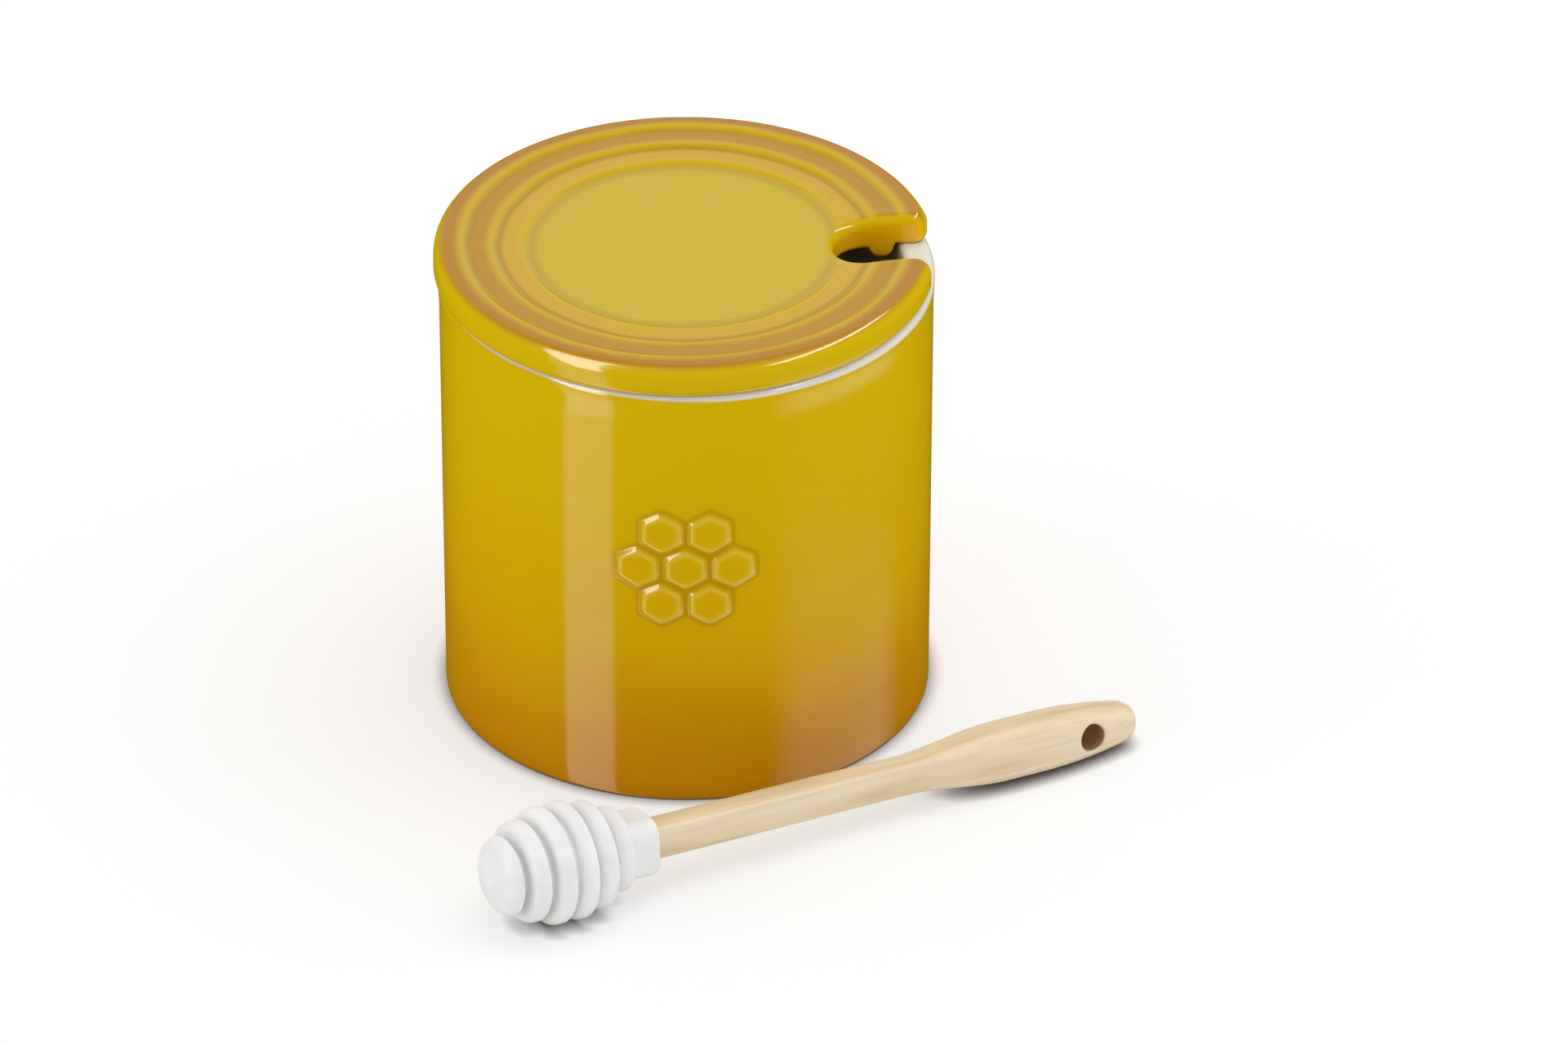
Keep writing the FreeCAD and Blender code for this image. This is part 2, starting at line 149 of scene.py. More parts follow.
class Nodes:
    """A material's or a world's node tree, with a short call for each node that the finishes share."""

    def __init__(self, owner: Material | bpy.types.World) -> None:
        """Empties the owner's node tree."""
        owner.use_nodes = True
        self.tree = owner.node_tree
        self.tree.nodes.clear()

    def place(self) -> Socket:
        """Gives the place in the piece's own space."""
        return add_node(self.tree, "ShaderNodeTexCoord").outputs["Object"]

    def axes(self, place: Socket) -> Sockets:
        """Splits a place into its X, Y and Z."""
        return add_node(self.tree, "ShaderNodeSeparateXYZ", {0: place}).outputs

    def radius(self, axes: Sockets) -> Socket:
        """Measures the distance from the upright axis."""
        flat = add_node(self.tree, "ShaderNodeCombineXYZ", {"X": axes["X"], "Y": axes["Y"]}).outputs[0]
        length = add_node(self.tree, "ShaderNodeVectorMath", {0: flat}, {"operation": "LENGTH"})
        return length.outputs["Value"]

    def maths(self, operation: str, *values: Socket | float) -> Socket:
        """Works out a sum of sockets and numbers."""
        inputs = dict(enumerate(values))
        return add_node(self.tree, "ShaderNodeMath", inputs, {"operation": operation}).outputs[0]

    def span(
        self, value: Socket, given: Point, wanted: Point = (0.0, 1.0), ease: Ease = Ease.STRAIGHT
    ) -> Socket:
        """Stretches a value's given range to the wanted one, and holds it at both ends."""
        return add_node(self.tree, "ShaderNodeMapRange", {
            "Value": value, "From Min": given[0], "From Max": given[1],
            "To Min": wanted[0], "To Max": wanted[1],
        }, {"interpolation_type": ease.value}).outputs[0]

    def stripe(self, value: Socket, start: float, stop: float, soft: Point) -> Socket:
        """Gives 1 between two values, with a soft run inside each end."""
        near = self.span(value, (start, start + soft[0]), ease=Ease.SOFT)
        return self.maths("MULTIPLY", near, self.span(value, (stop, stop - soft[1]), ease=Ease.SOFT))

    def noise(self, place: Socket, size: float, detail: float, roughness: float = 0.5) -> Socket:
        """Gives soft noise with features of a size in millimetres."""
        return add_node(self.tree, "ShaderNodeTexNoise", {
            "Vector": place, "Scale": 1 / (size * MM), "Detail": detail, "Roughness": roughness,
        }).outputs["Fac"]

    def mark(self, name: str) -> Socket:
        """Reads the number that the mesh keeps at each vertex under a name."""
        return add_node(self.tree, "ShaderNodeAttribute", settings={"attribute_name": name}).outputs["Fac"]

    def ramp(self, share: Socket, *stops: tuple[float, str]) -> Socket:
        """Turns a share into the colour at its place between the stops."""
        return add_node(self.tree, "ShaderNodeValToRGB", {"Fac": share}, stops=stops).outputs["Color"]

    def blend(self, share: Socket, first: Socket | Colour, second: Socket | Colour) -> Socket:
        """Mixes two colours, from all of the first to all of the second."""
        return add_node(self.tree, "ShaderNodeMix", {
            "Factor": share, 6: first, 7: second,
        }, {"data_type": "RGBA"}).outputs[2]

    def bump(self, height: Socket, strength: float, depth: float) -> Socket:
        """Tilts the shading by a height, with its depth in millimetres."""
        return add_node(self.tree, "ShaderNodeBump", {
            "Height": height, "Strength": strength, "Distance": depth * MM,
        }).outputs[0]

    def seen_rays(self) -> Socket:
        """Gives 1 for the rays that show a background: straight, mirrored or through glass."""
        rays = add_node(self.tree, "ShaderNodeLightPath").outputs
        mirrored = self.maths("MAXIMUM", rays["Is Camera Ray"], rays["Is Glossy Ray"])
        return self.maths("MAXIMUM", mirrored, rays["Is Transmission Ray"])

    def glow(self, strength: Socket | float, colour: str = WHITE) -> Socket:
        """Gives plain light of a colour."""
        inputs = {"Color": linear(colour), "Strength": strength}
        return add_node(self.tree, "ShaderNodeEmission", inputs).outputs[0]

    def either(self, share: Socket, first: Socket, second: Socket) -> Socket:
        """Mixes two shaders, from all of the first to all of the second."""
        return add_node(self.tree, "ShaderNodeMixShader", {0: share, 1: first, 2: second}).outputs[0]

    def coat(self, inputs: dict[str, Socket | float]) -> None:
        """Ends a material in a Principled shader with these inputs."""
        self.end(add_node(self.tree, "ShaderNodeBsdfPrincipled", inputs).outputs["BSDF"])

    def end(self, shader: Socket, kind: str = "ShaderNodeOutputMaterial") -> None:
        """Leads a shader to the output."""
        add_node(self.tree, kind, {"Surface": shader})


def rounded(corners: Sequence[Corner], steps: int = 8) -> list[Point]:
    """Draws a line through corners and rounds those that carry a radius.

    Args:
        corners: Places as (x, y), or (x, y, radius) for a rounded one.
        steps: How many runs each rounding is drawn with.

    Returns:
        The points of the line.
    """
    line: list[Point] = []
    for i, corner in enumerate(corners):
        here = Vector(corner[:2])
        if len(corner) < 3:
            line.append((here.x, here.y))
            continue
        back = (Vector(corners[i - 1][:2]) - here).normalized()
        ahead = (Vector(corners[i + 1][:2]) - here).normalized()
        half = back.angle(ahead) / 2
        centre = here + (back + ahead).normalized() * (corner[2] / math.sin(half))
        start = here + back * (corner[2] / math.tan(half)) - centre
        end = here + ahead * (corner[2] / math.tan(half)) - centre
        turn = start.angle_signed(end)
        for step in range(steps + 1):
            arm = start.copy()
            arm.rotate(Matrix.Rotation(-turn * step / steps, 2))
            line.append((centre.x + arm.x, centre.y + arm.y))
    return line


def divided(line: Sequence[Point], gap: Callable[[Point], float]) -> list[Point]:
    """Puts points into the long runs of a line.

    Args:
        line: The points of the line.
        gap: The longest run allowed near a point.

    Returns:
        The line with its long runs divided evenly.
    """
    points = [line[0]]
    for start, end in zip(line, line[1:]):
        middle = ((start[0] + end[0]) / 2, (start[1] + end[1]) / 2)
        count = max(1, math.ceil(math.dist(start, end) / gap(middle)))
        for step in range(1, count + 1):
            share = step / count
            points.append(tuple(a + (b - a) * share for a, b in zip(start, end)))
    return points


def square_point(share: float, half: float, corner: float) -> Point:
    """Finds a point on a rounded square, by its share of the way round.

    Args:
        share: The way round, from the middle of the side at +y, as a share of one turn.
        half: Half the square's side.
        corner: The radius of its corners.

    Returns:
        The point's x and y.
    """
    quarter, rest = divmod((share % 1.0) * 4, 1.0)
    flat = half - corner
    arc = corner * math.pi / 2
    way = rest * (2 * flat + arc)
    if way < flat:
        x, y = way, half
    elif way < flat + arc:
        turn = (way - flat) / corner
        x, y = flat + corner * math.sin(turn), flat + corner * math.cos(turn)
    else:
        x, y = half, 2 * flat + arc - way
    for _ in range(int(quarter)):
        x, y = y, -x
    return x, y


class Shaping:
    """A mesh that is shaped in edit mode, ring by ring."""

    def __init__(self, name: str, places: Sequence[Vector]) -> None:
        """Adds a circle with one vertex per place and moves its vertices there.

        Args:
            name: The piece's name.
            places: The first ring's vertices in order, in millimetres.
        """
        bpy.ops.object.select_all(action="DESELECT")
        bpy.ops.mesh.primitive_circle_add(vertices=len(places), radius=MM)
        self.piece = bpy.context.object
        self.piece.name = name
        self.piece.data.name = name
        bpy.ops.object.mode_set(mode="EDIT")
        bpy.context.tool_settings.mesh_select_mode = (False, True, False)
        self.bm = bmesh.from_edit_mesh(self.piece.data)
        self.rings = [list(self.bm.verts)]
        for vertex, place in zip(self.rings[0], places):
            vertex.co = place * MM

    def select_ring(self, ring: Sequence[Vert]) -> None:
        """Adds the edges round a ring to the selection."""
        for i, vertex in enumerate(ring):
            self.bm.edges.get((ring[i - 1], vertex)).select_set(True)

    def grow(self, ring: Sequence[Vert], places: Sequence[Vector]) -> list[Vert]:
        """Extrudes a ring of edges and moves the new vertices to their places.

        Args:
            ring: The vertices of an open ring, in order.
            places: The new ring's vertices in the same order, in millimetres.

        Returns:
            The new ring's vertices.
        """
        bpy.ops.mesh.select_all(action="DESELECT")
        self.select_ring(ring)
        bpy.ops.mesh.extrude_edges_move()
        grown = [
            next(edge.other_vert(vertex) for edge in vertex.link_edges if edge.other_vert(vertex).select)
            for vertex in ring
        ]
        for vertex, place in zip(grown, places):
            vertex.co = place * MM
        return grown

    def stack(self, places: Sequence[Vector]) -> None:
        """Grows the next ring on the last one."""
        self.rings.append(self.grow(self.rings[-1], places))

    def close(self, ring: Sequence[Vert]) -> None:
        """Closes a ring with a fan of faces to its middle.

        Args:
            ring: The vertices of an open ring, in order.
        """
        bpy.ops.mesh.select_all(action="DESELECT")
        self.select_ring(ring)
        bpy.ops.mesh.extrude_edges_move()
        bpy.ops.mesh.merge(type="CENTER")


def leave_edit(piece: Piece, sharp: float) -> Piece:
    """Merges doubles, turns faces outwards, leaves edit mode and smooths the shading.

    Args:
        piece: The piece that is in edit mode.
        sharp: Edges that turn by more than this many degrees stay sharp.

    Returns:
        The same piece, in object mode.
    """
    bpy.ops.mesh.select_all(action="SELECT")
    bpy.ops.mesh.remove_doubles(threshold=DOUBLES * MM)
    bpy.ops.mesh.normals_make_consistent(inside=False)
    bpy.ops.object.mode_set(mode="OBJECT")
    bpy.ops.object.shade_smooth_by_angle(angle=math.radians(sharp))
    return piece


def spun(
    name: str, profile: Sequence[Vector], axis: Vector, turns: Sequence[tuple[float, int]]
) -> Piece:
    """Draws a profile vertex by vertex and spins it round an axis through the origin.

    Args:
        name: The piece's name.
        profile: The profile's vertices in order, in millimetres.
        axis: The axis of the spin.
        turns: Angles in degrees that add up to a full turn, each with its count of steps.

    Returns:
        The piece, still in edit mode.
    """
    bpy.ops.object.select_all(action="DESELECT")
    bpy.ops.mesh.primitive_plane_add(size=MM)
    piece = bpy.context.object
    piece.name = name
    piece.data.name = name
    bpy.ops.object.mode_set(mode="EDIT")
    bpy.context.tool_settings.mesh_select_mode = (True, False, False)
    bpy.ops.mesh.select_all(action="SELECT")
    bpy.ops.mesh.merge(type="CENTER")
    bpy.ops.transform.translate(value=profile[0] * MM)
    for start, end in zip(profile, profile[1:]):
        bpy.ops.mesh.extrude_vertices_move(TRANSFORM_OT_translate={"value": (end - start) * MM})
    bpy.ops.mesh.select_all(action="SELECT")
    for angle, steps in turns:
        bpy.ops.mesh.spin(steps=steps, angle=math.radians(angle), center=(0, 0, 0), axis=axis)
    return piece


def set_attribute(piece: Piece, name: str, values: Sequence[float]) -> None:
    """Keeps one number per vertex on a piece, for its finish to read."""
    piece.data.attributes.new(name, "FLOAT", "POINT").data.foreach_set("value", values)


def dress(piece: Piece, material: Material, body: str, slot: str, *nodes: str) -> None:
    """Gives a piece its finish and puts it in the place of its solids.

    Args:
        piece: The finished piece.
        material: Its finish.
        body: The body that it moves with.
        slot: The record's material slot; not used.
        nodes: The solids that it stands for.
    """
    piece.data.materials.clear()
    piece.data.materials.append(material)
    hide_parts(*nodes)
    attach(piece, body)
    LOG.info("%s: %d faces on %s", piece.name, len(piece.data.polygons), body)


@dataclass(frozen=True)
class PotGlaze:
    """Gloss glaze on stoneware: honey yellow, amber at the foot, with a pale glaze at the rim and inside."""

    tones: tuple[tuple[float, str], ...] = (
        (0.0, "#bd7e06"), (0.16, "#c48b06"), (0.38, "#cca000"), (0.72, "#cfaa00"), (0.97, "#d1ae00"),
    )
    pale: str = "#dedbd0"
    clay: str = "#d9cbb2"
    pooled: str = "#a97a06"
    crest: str = "#d9c04a"
    height: float = 98.0
    drift: float = 0.035
    rim_line: Point = (97.05, 97.45)
    rim_line_tilt: float = 0.015
    rim_line_wave: float = 0.7
    inside_radii: Point = (47.0, 46.6)
    inside_from: float = 2.0
    foot_heights: Point = (0.12, 0.02)
    foot_dulling: float = 0.55
    cloud: Triple = (26.0, 2.0, 0.45)
    speck: Triple = (2.2, 3.0, 0.6)
    gloss: Point = (0.06, 0.11)
    bump: Point = (0.25, 0.35)
    ior: float = 1.5

    def make(self) -> Material:
        """Builds the glaze from height, radius and soft clouds of thicker and thinner glaze.

        Returns:
            The material.
        """
        material = bpy.data.materials.new("honey_gloss_glaze")
        nodes = Nodes(material)
        # Fired glaze is glass over clay: a hard clear gloss, and colour that drifts with its thickness
        place = nodes.place()
        axes = nodes.axes(place)
        cloud = nodes.noise(place, *self.cloud)
        speck = nodes.noise(place, *self.speck)
        drift = nodes.span(cloud, NOISE_SPAN, (-self.drift, self.drift))
        tone = nodes.ramp(nodes.maths("MULTIPLY_ADD", axes["Z"], 1 / (self.height * MM), drift), *self.tones)
        tone = nodes.blend(nodes.mark("pooled"), tone, linear(self.pooled))
        tone = nodes.blend(nodes.mark("crest"), tone, linear(self.crest))
        tilted = nodes.maths("MULTIPLY_ADD", axes["X"], self.rim_line_tilt, axes["Z"])
        wavy = nodes.maths("MULTIPLY_ADD", cloud, self.rim_line_wave * MM, tilted)
        at_rim = nodes.span(wavy, metres(self.rim_line))
        inside = nodes.span(nodes.radius(axes), metres(self.inside_radii))
        above_foot = nodes.maths("GREATER_THAN", axes["Z"], self.inside_from * MM)
        inside = nodes.maths("MULTIPLY", inside, above_foot)
        tone = nodes.blend(nodes.maths("MAXIMUM", at_rim, inside), tone, linear(self.pale))
        foot = nodes.span(axes["Z"], metres(self.foot_heights))
        gloss = nodes.span(speck, NOISE_SPAN, self.gloss)
        nodes.coat({
            "Base Color": nodes.blend(foot, tone, linear(self.clay)),
            "Roughness": nodes.maths("MULTIPLY_ADD", foot, self.foot_dulling, gloss),
            "Normal": nodes.bump(cloud, *self.bump),
            "IOR": self.ior,
        })
        return material


@dataclass(frozen=True)
class LidGlaze:
    """The same glaze on the lid, amber on the outer steps, with a pale line where it thins on each crest."""

    middle: str = "#c7ab28"
    inner_foot: str = "#b99a2e"
    foot_of_step: str = "#ad8622"
    crest: str = "#cbaa22"
    inner_step: str = "#caa22a"
    outer_step: str = "#b78823"
    band: str = "#b07c22"
    wall_tones: tuple[tuple[float, str], ...] = ((0.0, "#bb9200"), (0.55, "#cfae02"))
    wall_heights: Point = (-1.0, 4.5)
    # The slot's deep wall: the glaze's amber, brightened as painted light against the shade that falls in the
    # slot
    slot: str = "#eeb400"
    seat_height: float = 98.0
    centre_x: float = -0.4
    reach: float = 52.0
    crests: Triple = (33.7, 40.05, 46.4)
    offsets: tuple[tuple[float, ...], ...] = (
        (-0.080, -0.045, -0.008, 0.028),
        (-0.058, -0.038, -0.008, 0.028),
        (-0.058, -0.038, -0.008, 0.030),
    )
    wander: float = 0.006
    cloud: Point = (18.0, 3.0)
    gloss: Point = (0.08, 0.14)
    ior: float = 1.5

    def stops(self) -> list[tuple[float, str]]:
        """Sets the tones out from the lid's middle, before and after each crest.

        Returns:
            Shares of the lid's reach and their hex colours.
        """
        rows = (
            (self.middle, self.inner_foot, self.crest, self.inner_step),
            (self.inner_step, self.foot_of_step, self.crest, self.outer_step),
            (self.outer_step, self.foot_of_step, self.crest, self.band),
        )
        stops = []
        for crest, offsets, tones in zip(self.crests, self.offsets, rows):
            stops += [(crest / self.reach + offset, tone) for offset, tone in zip(offsets, tones)]
        return stops

    def make(self) -> Material:
        """Builds the glaze from the distance to the lid's axis and the nearness of an edge.

        Returns:
            The material.
        """
        material = bpy.data.materials.new("honey_gloss_glaze_on_steps")
        nodes = Nodes(material)
        # The glaze runs off each raised edge as it melts, so crests are paler and feet deeper in colour
        place = add_node(nodes.tree, "ShaderNodeMapping", {
            "Vector": nodes.place(), "Location": (-self.centre_x * MM, 0, -self.seat_height * MM),
        }).outputs[0]
        axes = nodes.axes(place)
        cloud = nodes.noise(place, *self.cloud)
        wander = nodes.span(cloud, NOISE_SPAN, (-self.wander, self.wander))
        share = nodes.maths("MULTIPLY_ADD", nodes.radius(axes), 1 / (self.reach * MM), wander)
        side = nodes.ramp(nodes.span(axes["Z"], metres(self.wall_heights)), *self.wall_tones)
        # Painted light: the shaded wall deep in the slot takes a brighter amber than the side
        side = nodes.blend(nodes.mark("slot"), side, linear(self.slot))
        nodes.coat({
            "Base Color": nodes.blend(nodes.mark("edge"), nodes.ramp(share, *self.stops()), side),
            "Roughness": nodes.span(cloud, NOISE_SPAN, self.gloss),
            "IOR": self.ior,
        })
        return material


@dataclass(frozen=True)
class Beech:
    """Sanded, unvarnished beech: pale straw with fine long grain and short darker flecks."""

    pale: str = "#e7d7ba"
    straw: str = "#e0cdab"
    shade: str = "#cfb58d"
    fleck: str = "#c2a274"
    # Painted shade in the hang hole: its wall darkens towards this brown deeper in
    hole_shade: str = "#7d5b39"
    grain_width: float = 0.9
    grain_length: float = 28.0
    band_width: float = 5.0
    fleck_width: float = 0.35
    fleck_length: float = 3.5
    fineness: float = 0.55
    tone_stops: Triple = (0.32, 0.48, 0.66)
    streak_span: Point = (0.48, 0.72)
    streak_share: Point = (0.0, 0.3)
    fleck_span: Point = (0.66, 0.78)
    fleck_share: Point = (0.0, 0.18)
    roughness: Point = (0.5, 0.62)
    bump: Point = (0.2, 0.12)

    def make(self, lay: Matrix) -> Material:
        """Builds the wood with its grain along the handle.

        Args:
            lay: The handle's place and turn, in metres.

        Returns:
            The material.
        """
        material = bpy.data.materials.new("sanded_beech")
        nodes = Nodes(material)
        # Beech has a close even grain with small dark rays, and sanding leaves it matt with a faint silk
        along = add_node(nodes.tree, "ShaderNodeMapping", {
            "Vector": nodes.place(), "Location": lay.to_translation(), "Rotation": lay.to_euler(),
        }, {"vector_type": "TEXTURE"}).outputs[0]
        fields = []
        for width, length, detail in (
            (self.grain_width, self.grain_length, 3.0),
            (self.band_width, self.grain_length * 2, 2.0),
            (self.fleck_width, self.fleck_length, 1.0),
        ):
            stretched = add_node(nodes.tree, "ShaderNodeMapping", {
                "Vector": along, "Scale": (1 / length, 1 / width, 1 / width),
            }).outputs[0]
            fields.append(nodes.noise(stretched, 1.0, detail, self.fineness))
        grain, band, fleck = fields
        tone = nodes.ramp(band, *zip(self.tone_stops, (self.shade, self.straw, self.pale)))
        tone = nodes.blend(nodes.span(grain, self.streak_span, self.streak_share), tone, linear(self.shade))
        tone = nodes.blend(nodes.span(fleck, self.fleck_span, self.fleck_share), tone, linear(self.fleck))
        nodes.coat({
            # Painted shade: the hang hole's wall darkens with depth below the face
            "Base Color": nodes.blend(nodes.mark("hole_shade_depth"), tone, linear(self.hole_shade)),
            "Roughness": nodes.span(grain, NOISE_SPAN, self.roughness),
            "Normal": nodes.bump(grain, *self.bump),
        })
        return material


@dataclass(frozen=True)
class Silicone:
    """Moulded white silicone: soft white with a dull sheen and a very fine moulded texture."""

    white: str = "#ededee"
    shaded: str = "#e5e5e7"
    tone_stops: Point = (0.35, 0.65)
    cloud: Point = (7.0, 2.0)
    grit: Point = (0.5, 2.0)
    roughness: Point = (0.48, 0.6)
    bump: Point = (0.12, 0.05)
    ior: float = 1.41

    def make(self) -> Material:
        """Builds the rubber with faint clouds and a fine grit.

        Returns:
            The material.
        """
        material = bpy.data.materials.new("white_moulded_silicone")
        nodes = Nodes(material)
        # Silicone comes out of its mould with a fine dull skin that lets a little light in
        place = nodes.place()
        grit = nodes.noise(place, *self.grit)
        cloud = nodes.noise(place, *self.cloud)
        nodes.coat({
            "Base Color": nodes.ramp(cloud, *zip(self.tone_stops, (self.shaded, self.white))),
            "Roughness": nodes.span(grit, NOISE_SPAN, self.roughness),
            "Normal": nodes.bump(grit, *self.bump),
            "IOR": self.ior,
        })
        return material


@dataclass
class Pot:
    """The vessel: a turned body with a flat rim, and a small comb of soft hexagons raised on its front."""

    height: float = 98.0
    recess_depth: float = 1.0
    recess_radius: float = 41.7
    recess_round: float = 1.0
    foot_radius: float = 43.2
    foot_round: float = 0.8
    base_radius: float = 50.2
    base_round: float = 0.9
    wall_radius: float = 50.9
    shoulder_height: float = 92.0
    shoulder_round: float = 80.0
    rim_radius: float = 51.3
    rim_round: float = 1.6
    mouth_radius: float = 44.9
    mouth_round: float = 1.4
    floor_radius: float = 44.5
    floor_height: float = 7.0
    floor_round: float = 6.0
    comb_height: float = 56.6
    cell_radius: float = 4.9
    cell_gap: float = 1.3
    cell_softness: int = 16
    cell_slope: Point = (-0.85, 0.5)
    crest_mark: Triple = (0.55, -0.75, 0.45)
    pooled_mark: Triple = (0.6, 0.55, 0.5)
    relief: float = 0.8
    comb_rows: tuple[int, ...] = (2, 3, 2)
    comb_band: tuple[float, float] = (40.4, 72.8)
    wall_margin: float = 1.0
    fine_gap: float = 0.4
    plain_gap: float = 4.0
    front_arc: float = 44.0
    front_steps: int = 116
    rest_steps: int = 150
    crease: float = 60.0
    finish: PotGlaze = field(default_factory=PotGlaze)

    def profile(self) -> list[Point]:
        """Draws the half section from the middle of the underside round to the middle of the inside floor.

        Returns:
            Radii and heights, in order.
        """
        low, high = self.comb_band
        slope = (self.wall_radius - self.base_radius) / self.shoulder_height
        line = rounded((
            (0.0, self.recess_depth),
            (self.recess_radius, self.recess_depth, self.recess_round),
            (self.foot_radius, 0.0, self.foot_round),
            (self.base_radius, 0.0, self.base_round),
            (self.base_radius + slope * low, low),
            (self.base_radius + slope * high, high),
            (self.wall_radius, self.shoulder_height, self.shoulder_round),
            (self.rim_radius, self.height, self.rim_round),
            (self.mouth_radius, self.height, self.mouth_round),
            (self.floor_radius, self.floor_height, self.floor_round),
            (0.0, self.floor_height),
        ))
        return divided(line, self.gap)

    def on_band(self, radius: float, height: float) -> bool:
        """Tells whether a place is on the outside of the wall, at the comb's heights."""
        low, high = self.comb_band
        return low < height < high and radius > self.mouth_radius + self.wall_margin

    def gap(self, place: Point) -> float:
        """Longest run allowed near a point of the half section."""
        return self.fine_gap if self.on_band(*place) else self.plain_gap

    def cell_edge(self, x: float, z: float) -> float:
        """Finds how far a place on the front lies outside the nearest hexagon.

        Args:
            x: The place's distance to the right of the middle.
            z: Its height.

        Returns:
            The distance, below zero inside a hexagon.
        """
        step_x = self.cell_radius * math.sqrt(3) + self.cell_gap
        step_z = step_x * math.sqrt(3) / 2
        inner = self.cell_radius * math.cos(math.radians(30))
        nearest = math.inf
        for row, count in enumerate(self.comb_rows):
            dz = abs(z - self.comb_height - (row - 1) * step_z)
            for column in range(count):
                dx = abs(x - (column - (count - 1) / 2) * step_x)
                slants = (dx, 0.5 * dx + SIN_60 * dz, abs(0.5 * dx - SIN_60 * dz))
                soft = sum(slant ** self.cell_softness for slant in slants) ** (1 / self.cell_softness)
                nearest = min(nearest, soft - inner)
        return nearest

    def build(self) -> Piece:
        """Spins the vessel, finely at the front, and raises the comb there.

        Returns:
            The finished piece.
        """
        start = math.radians(-90 + self.front_arc / 2)
        profile = [Vector((r * math.cos(start), r * math.sin(start), z)) for r, z in self.profile()]
        turns = ((self.front_arc, self.front_steps), (360 - self.front_arc, self.rest_steps))
        piece = leave_edit(spun("pot_glazed", profile, Vector((0, 0, 1)), turns), self.crease)
        self.raise_comb(piece)
        return piece

    def raise_comb(self, piece: Piece) -> None:
        """Lifts the hexagons out of the wall with a Displace modifier, and marks their crests and feet.

        Args:
            piece: The spun vessel.
        """
        group = piece.vertex_groups.new(name="comb")
        crest = [0.0] * len(piece.data.vertices)
        pooled = [0.0] * len(piece.data.vertices)
        for vertex in piece.data.vertices:
            x, y, z = vertex.co / MM
            if y > 0 or not self.on_band(math.hypot(x, y), z):
                continue
            edge = self.cell_edge(x, z)
            group.add([vertex.index], 1 - smooth(*self.cell_slope, edge), "REPLACE")
            crest[vertex.index] = bell(edge, *self.crest_mark)
            pooled[vertex.index] = bell(edge, *self.pooled_mark)
        set_attribute(piece, "crest", crest)
        set_attribute(piece, "pooled", pooled)
        swell = piece.modifiers.new("raised_comb", "DISPLACE")
        swell.vertex_group = group.name
        swell.strength = self.relief * MM
        swell.mid_level = 0.0
        bpy.ops.object.modifier_apply(modifier=swell.name)
        piece.vertex_groups.clear()

    def dress(self, piece: Piece) -> None:
        """Glazes the pot and puts it in the place of its solid."""
        dress(piece, self.finish.make(), "pot", "pot_glaze", "pot")


def arc(centre: Point, radius: float, turn: Point, gap: float, slot: Point, inward: float) -> Walk:
    """Walks along an arc of the lid's plan, short of its last point.

    Args:
        centre: The arc's centre.
        radius: Its radius.
        turn: The angles that it starts and ends at.
        gap: The longest step.
        slot: How far it belongs to the slot where it starts and ends, from 0 to 1.
        inward: The way into the clay: 1 away from the centre, -1 towards it.

    Returns:
        Points, the way into the clay at each, and how far each belongs to the slot.
    """
    count = math.ceil(abs(turn[1] - turn[0]) * radius / gap)
    walk = []
    for step in range(count):
        share = step / count
        angle = turn[0] + (turn[1] - turn[0]) * share
        arm = Vector((math.cos(angle), math.sin(angle)))
        walk.append((Vector(centre) + arm * radius, arm * inward, slot[0] + (slot[1] - slot[0]) * share))
    return walk


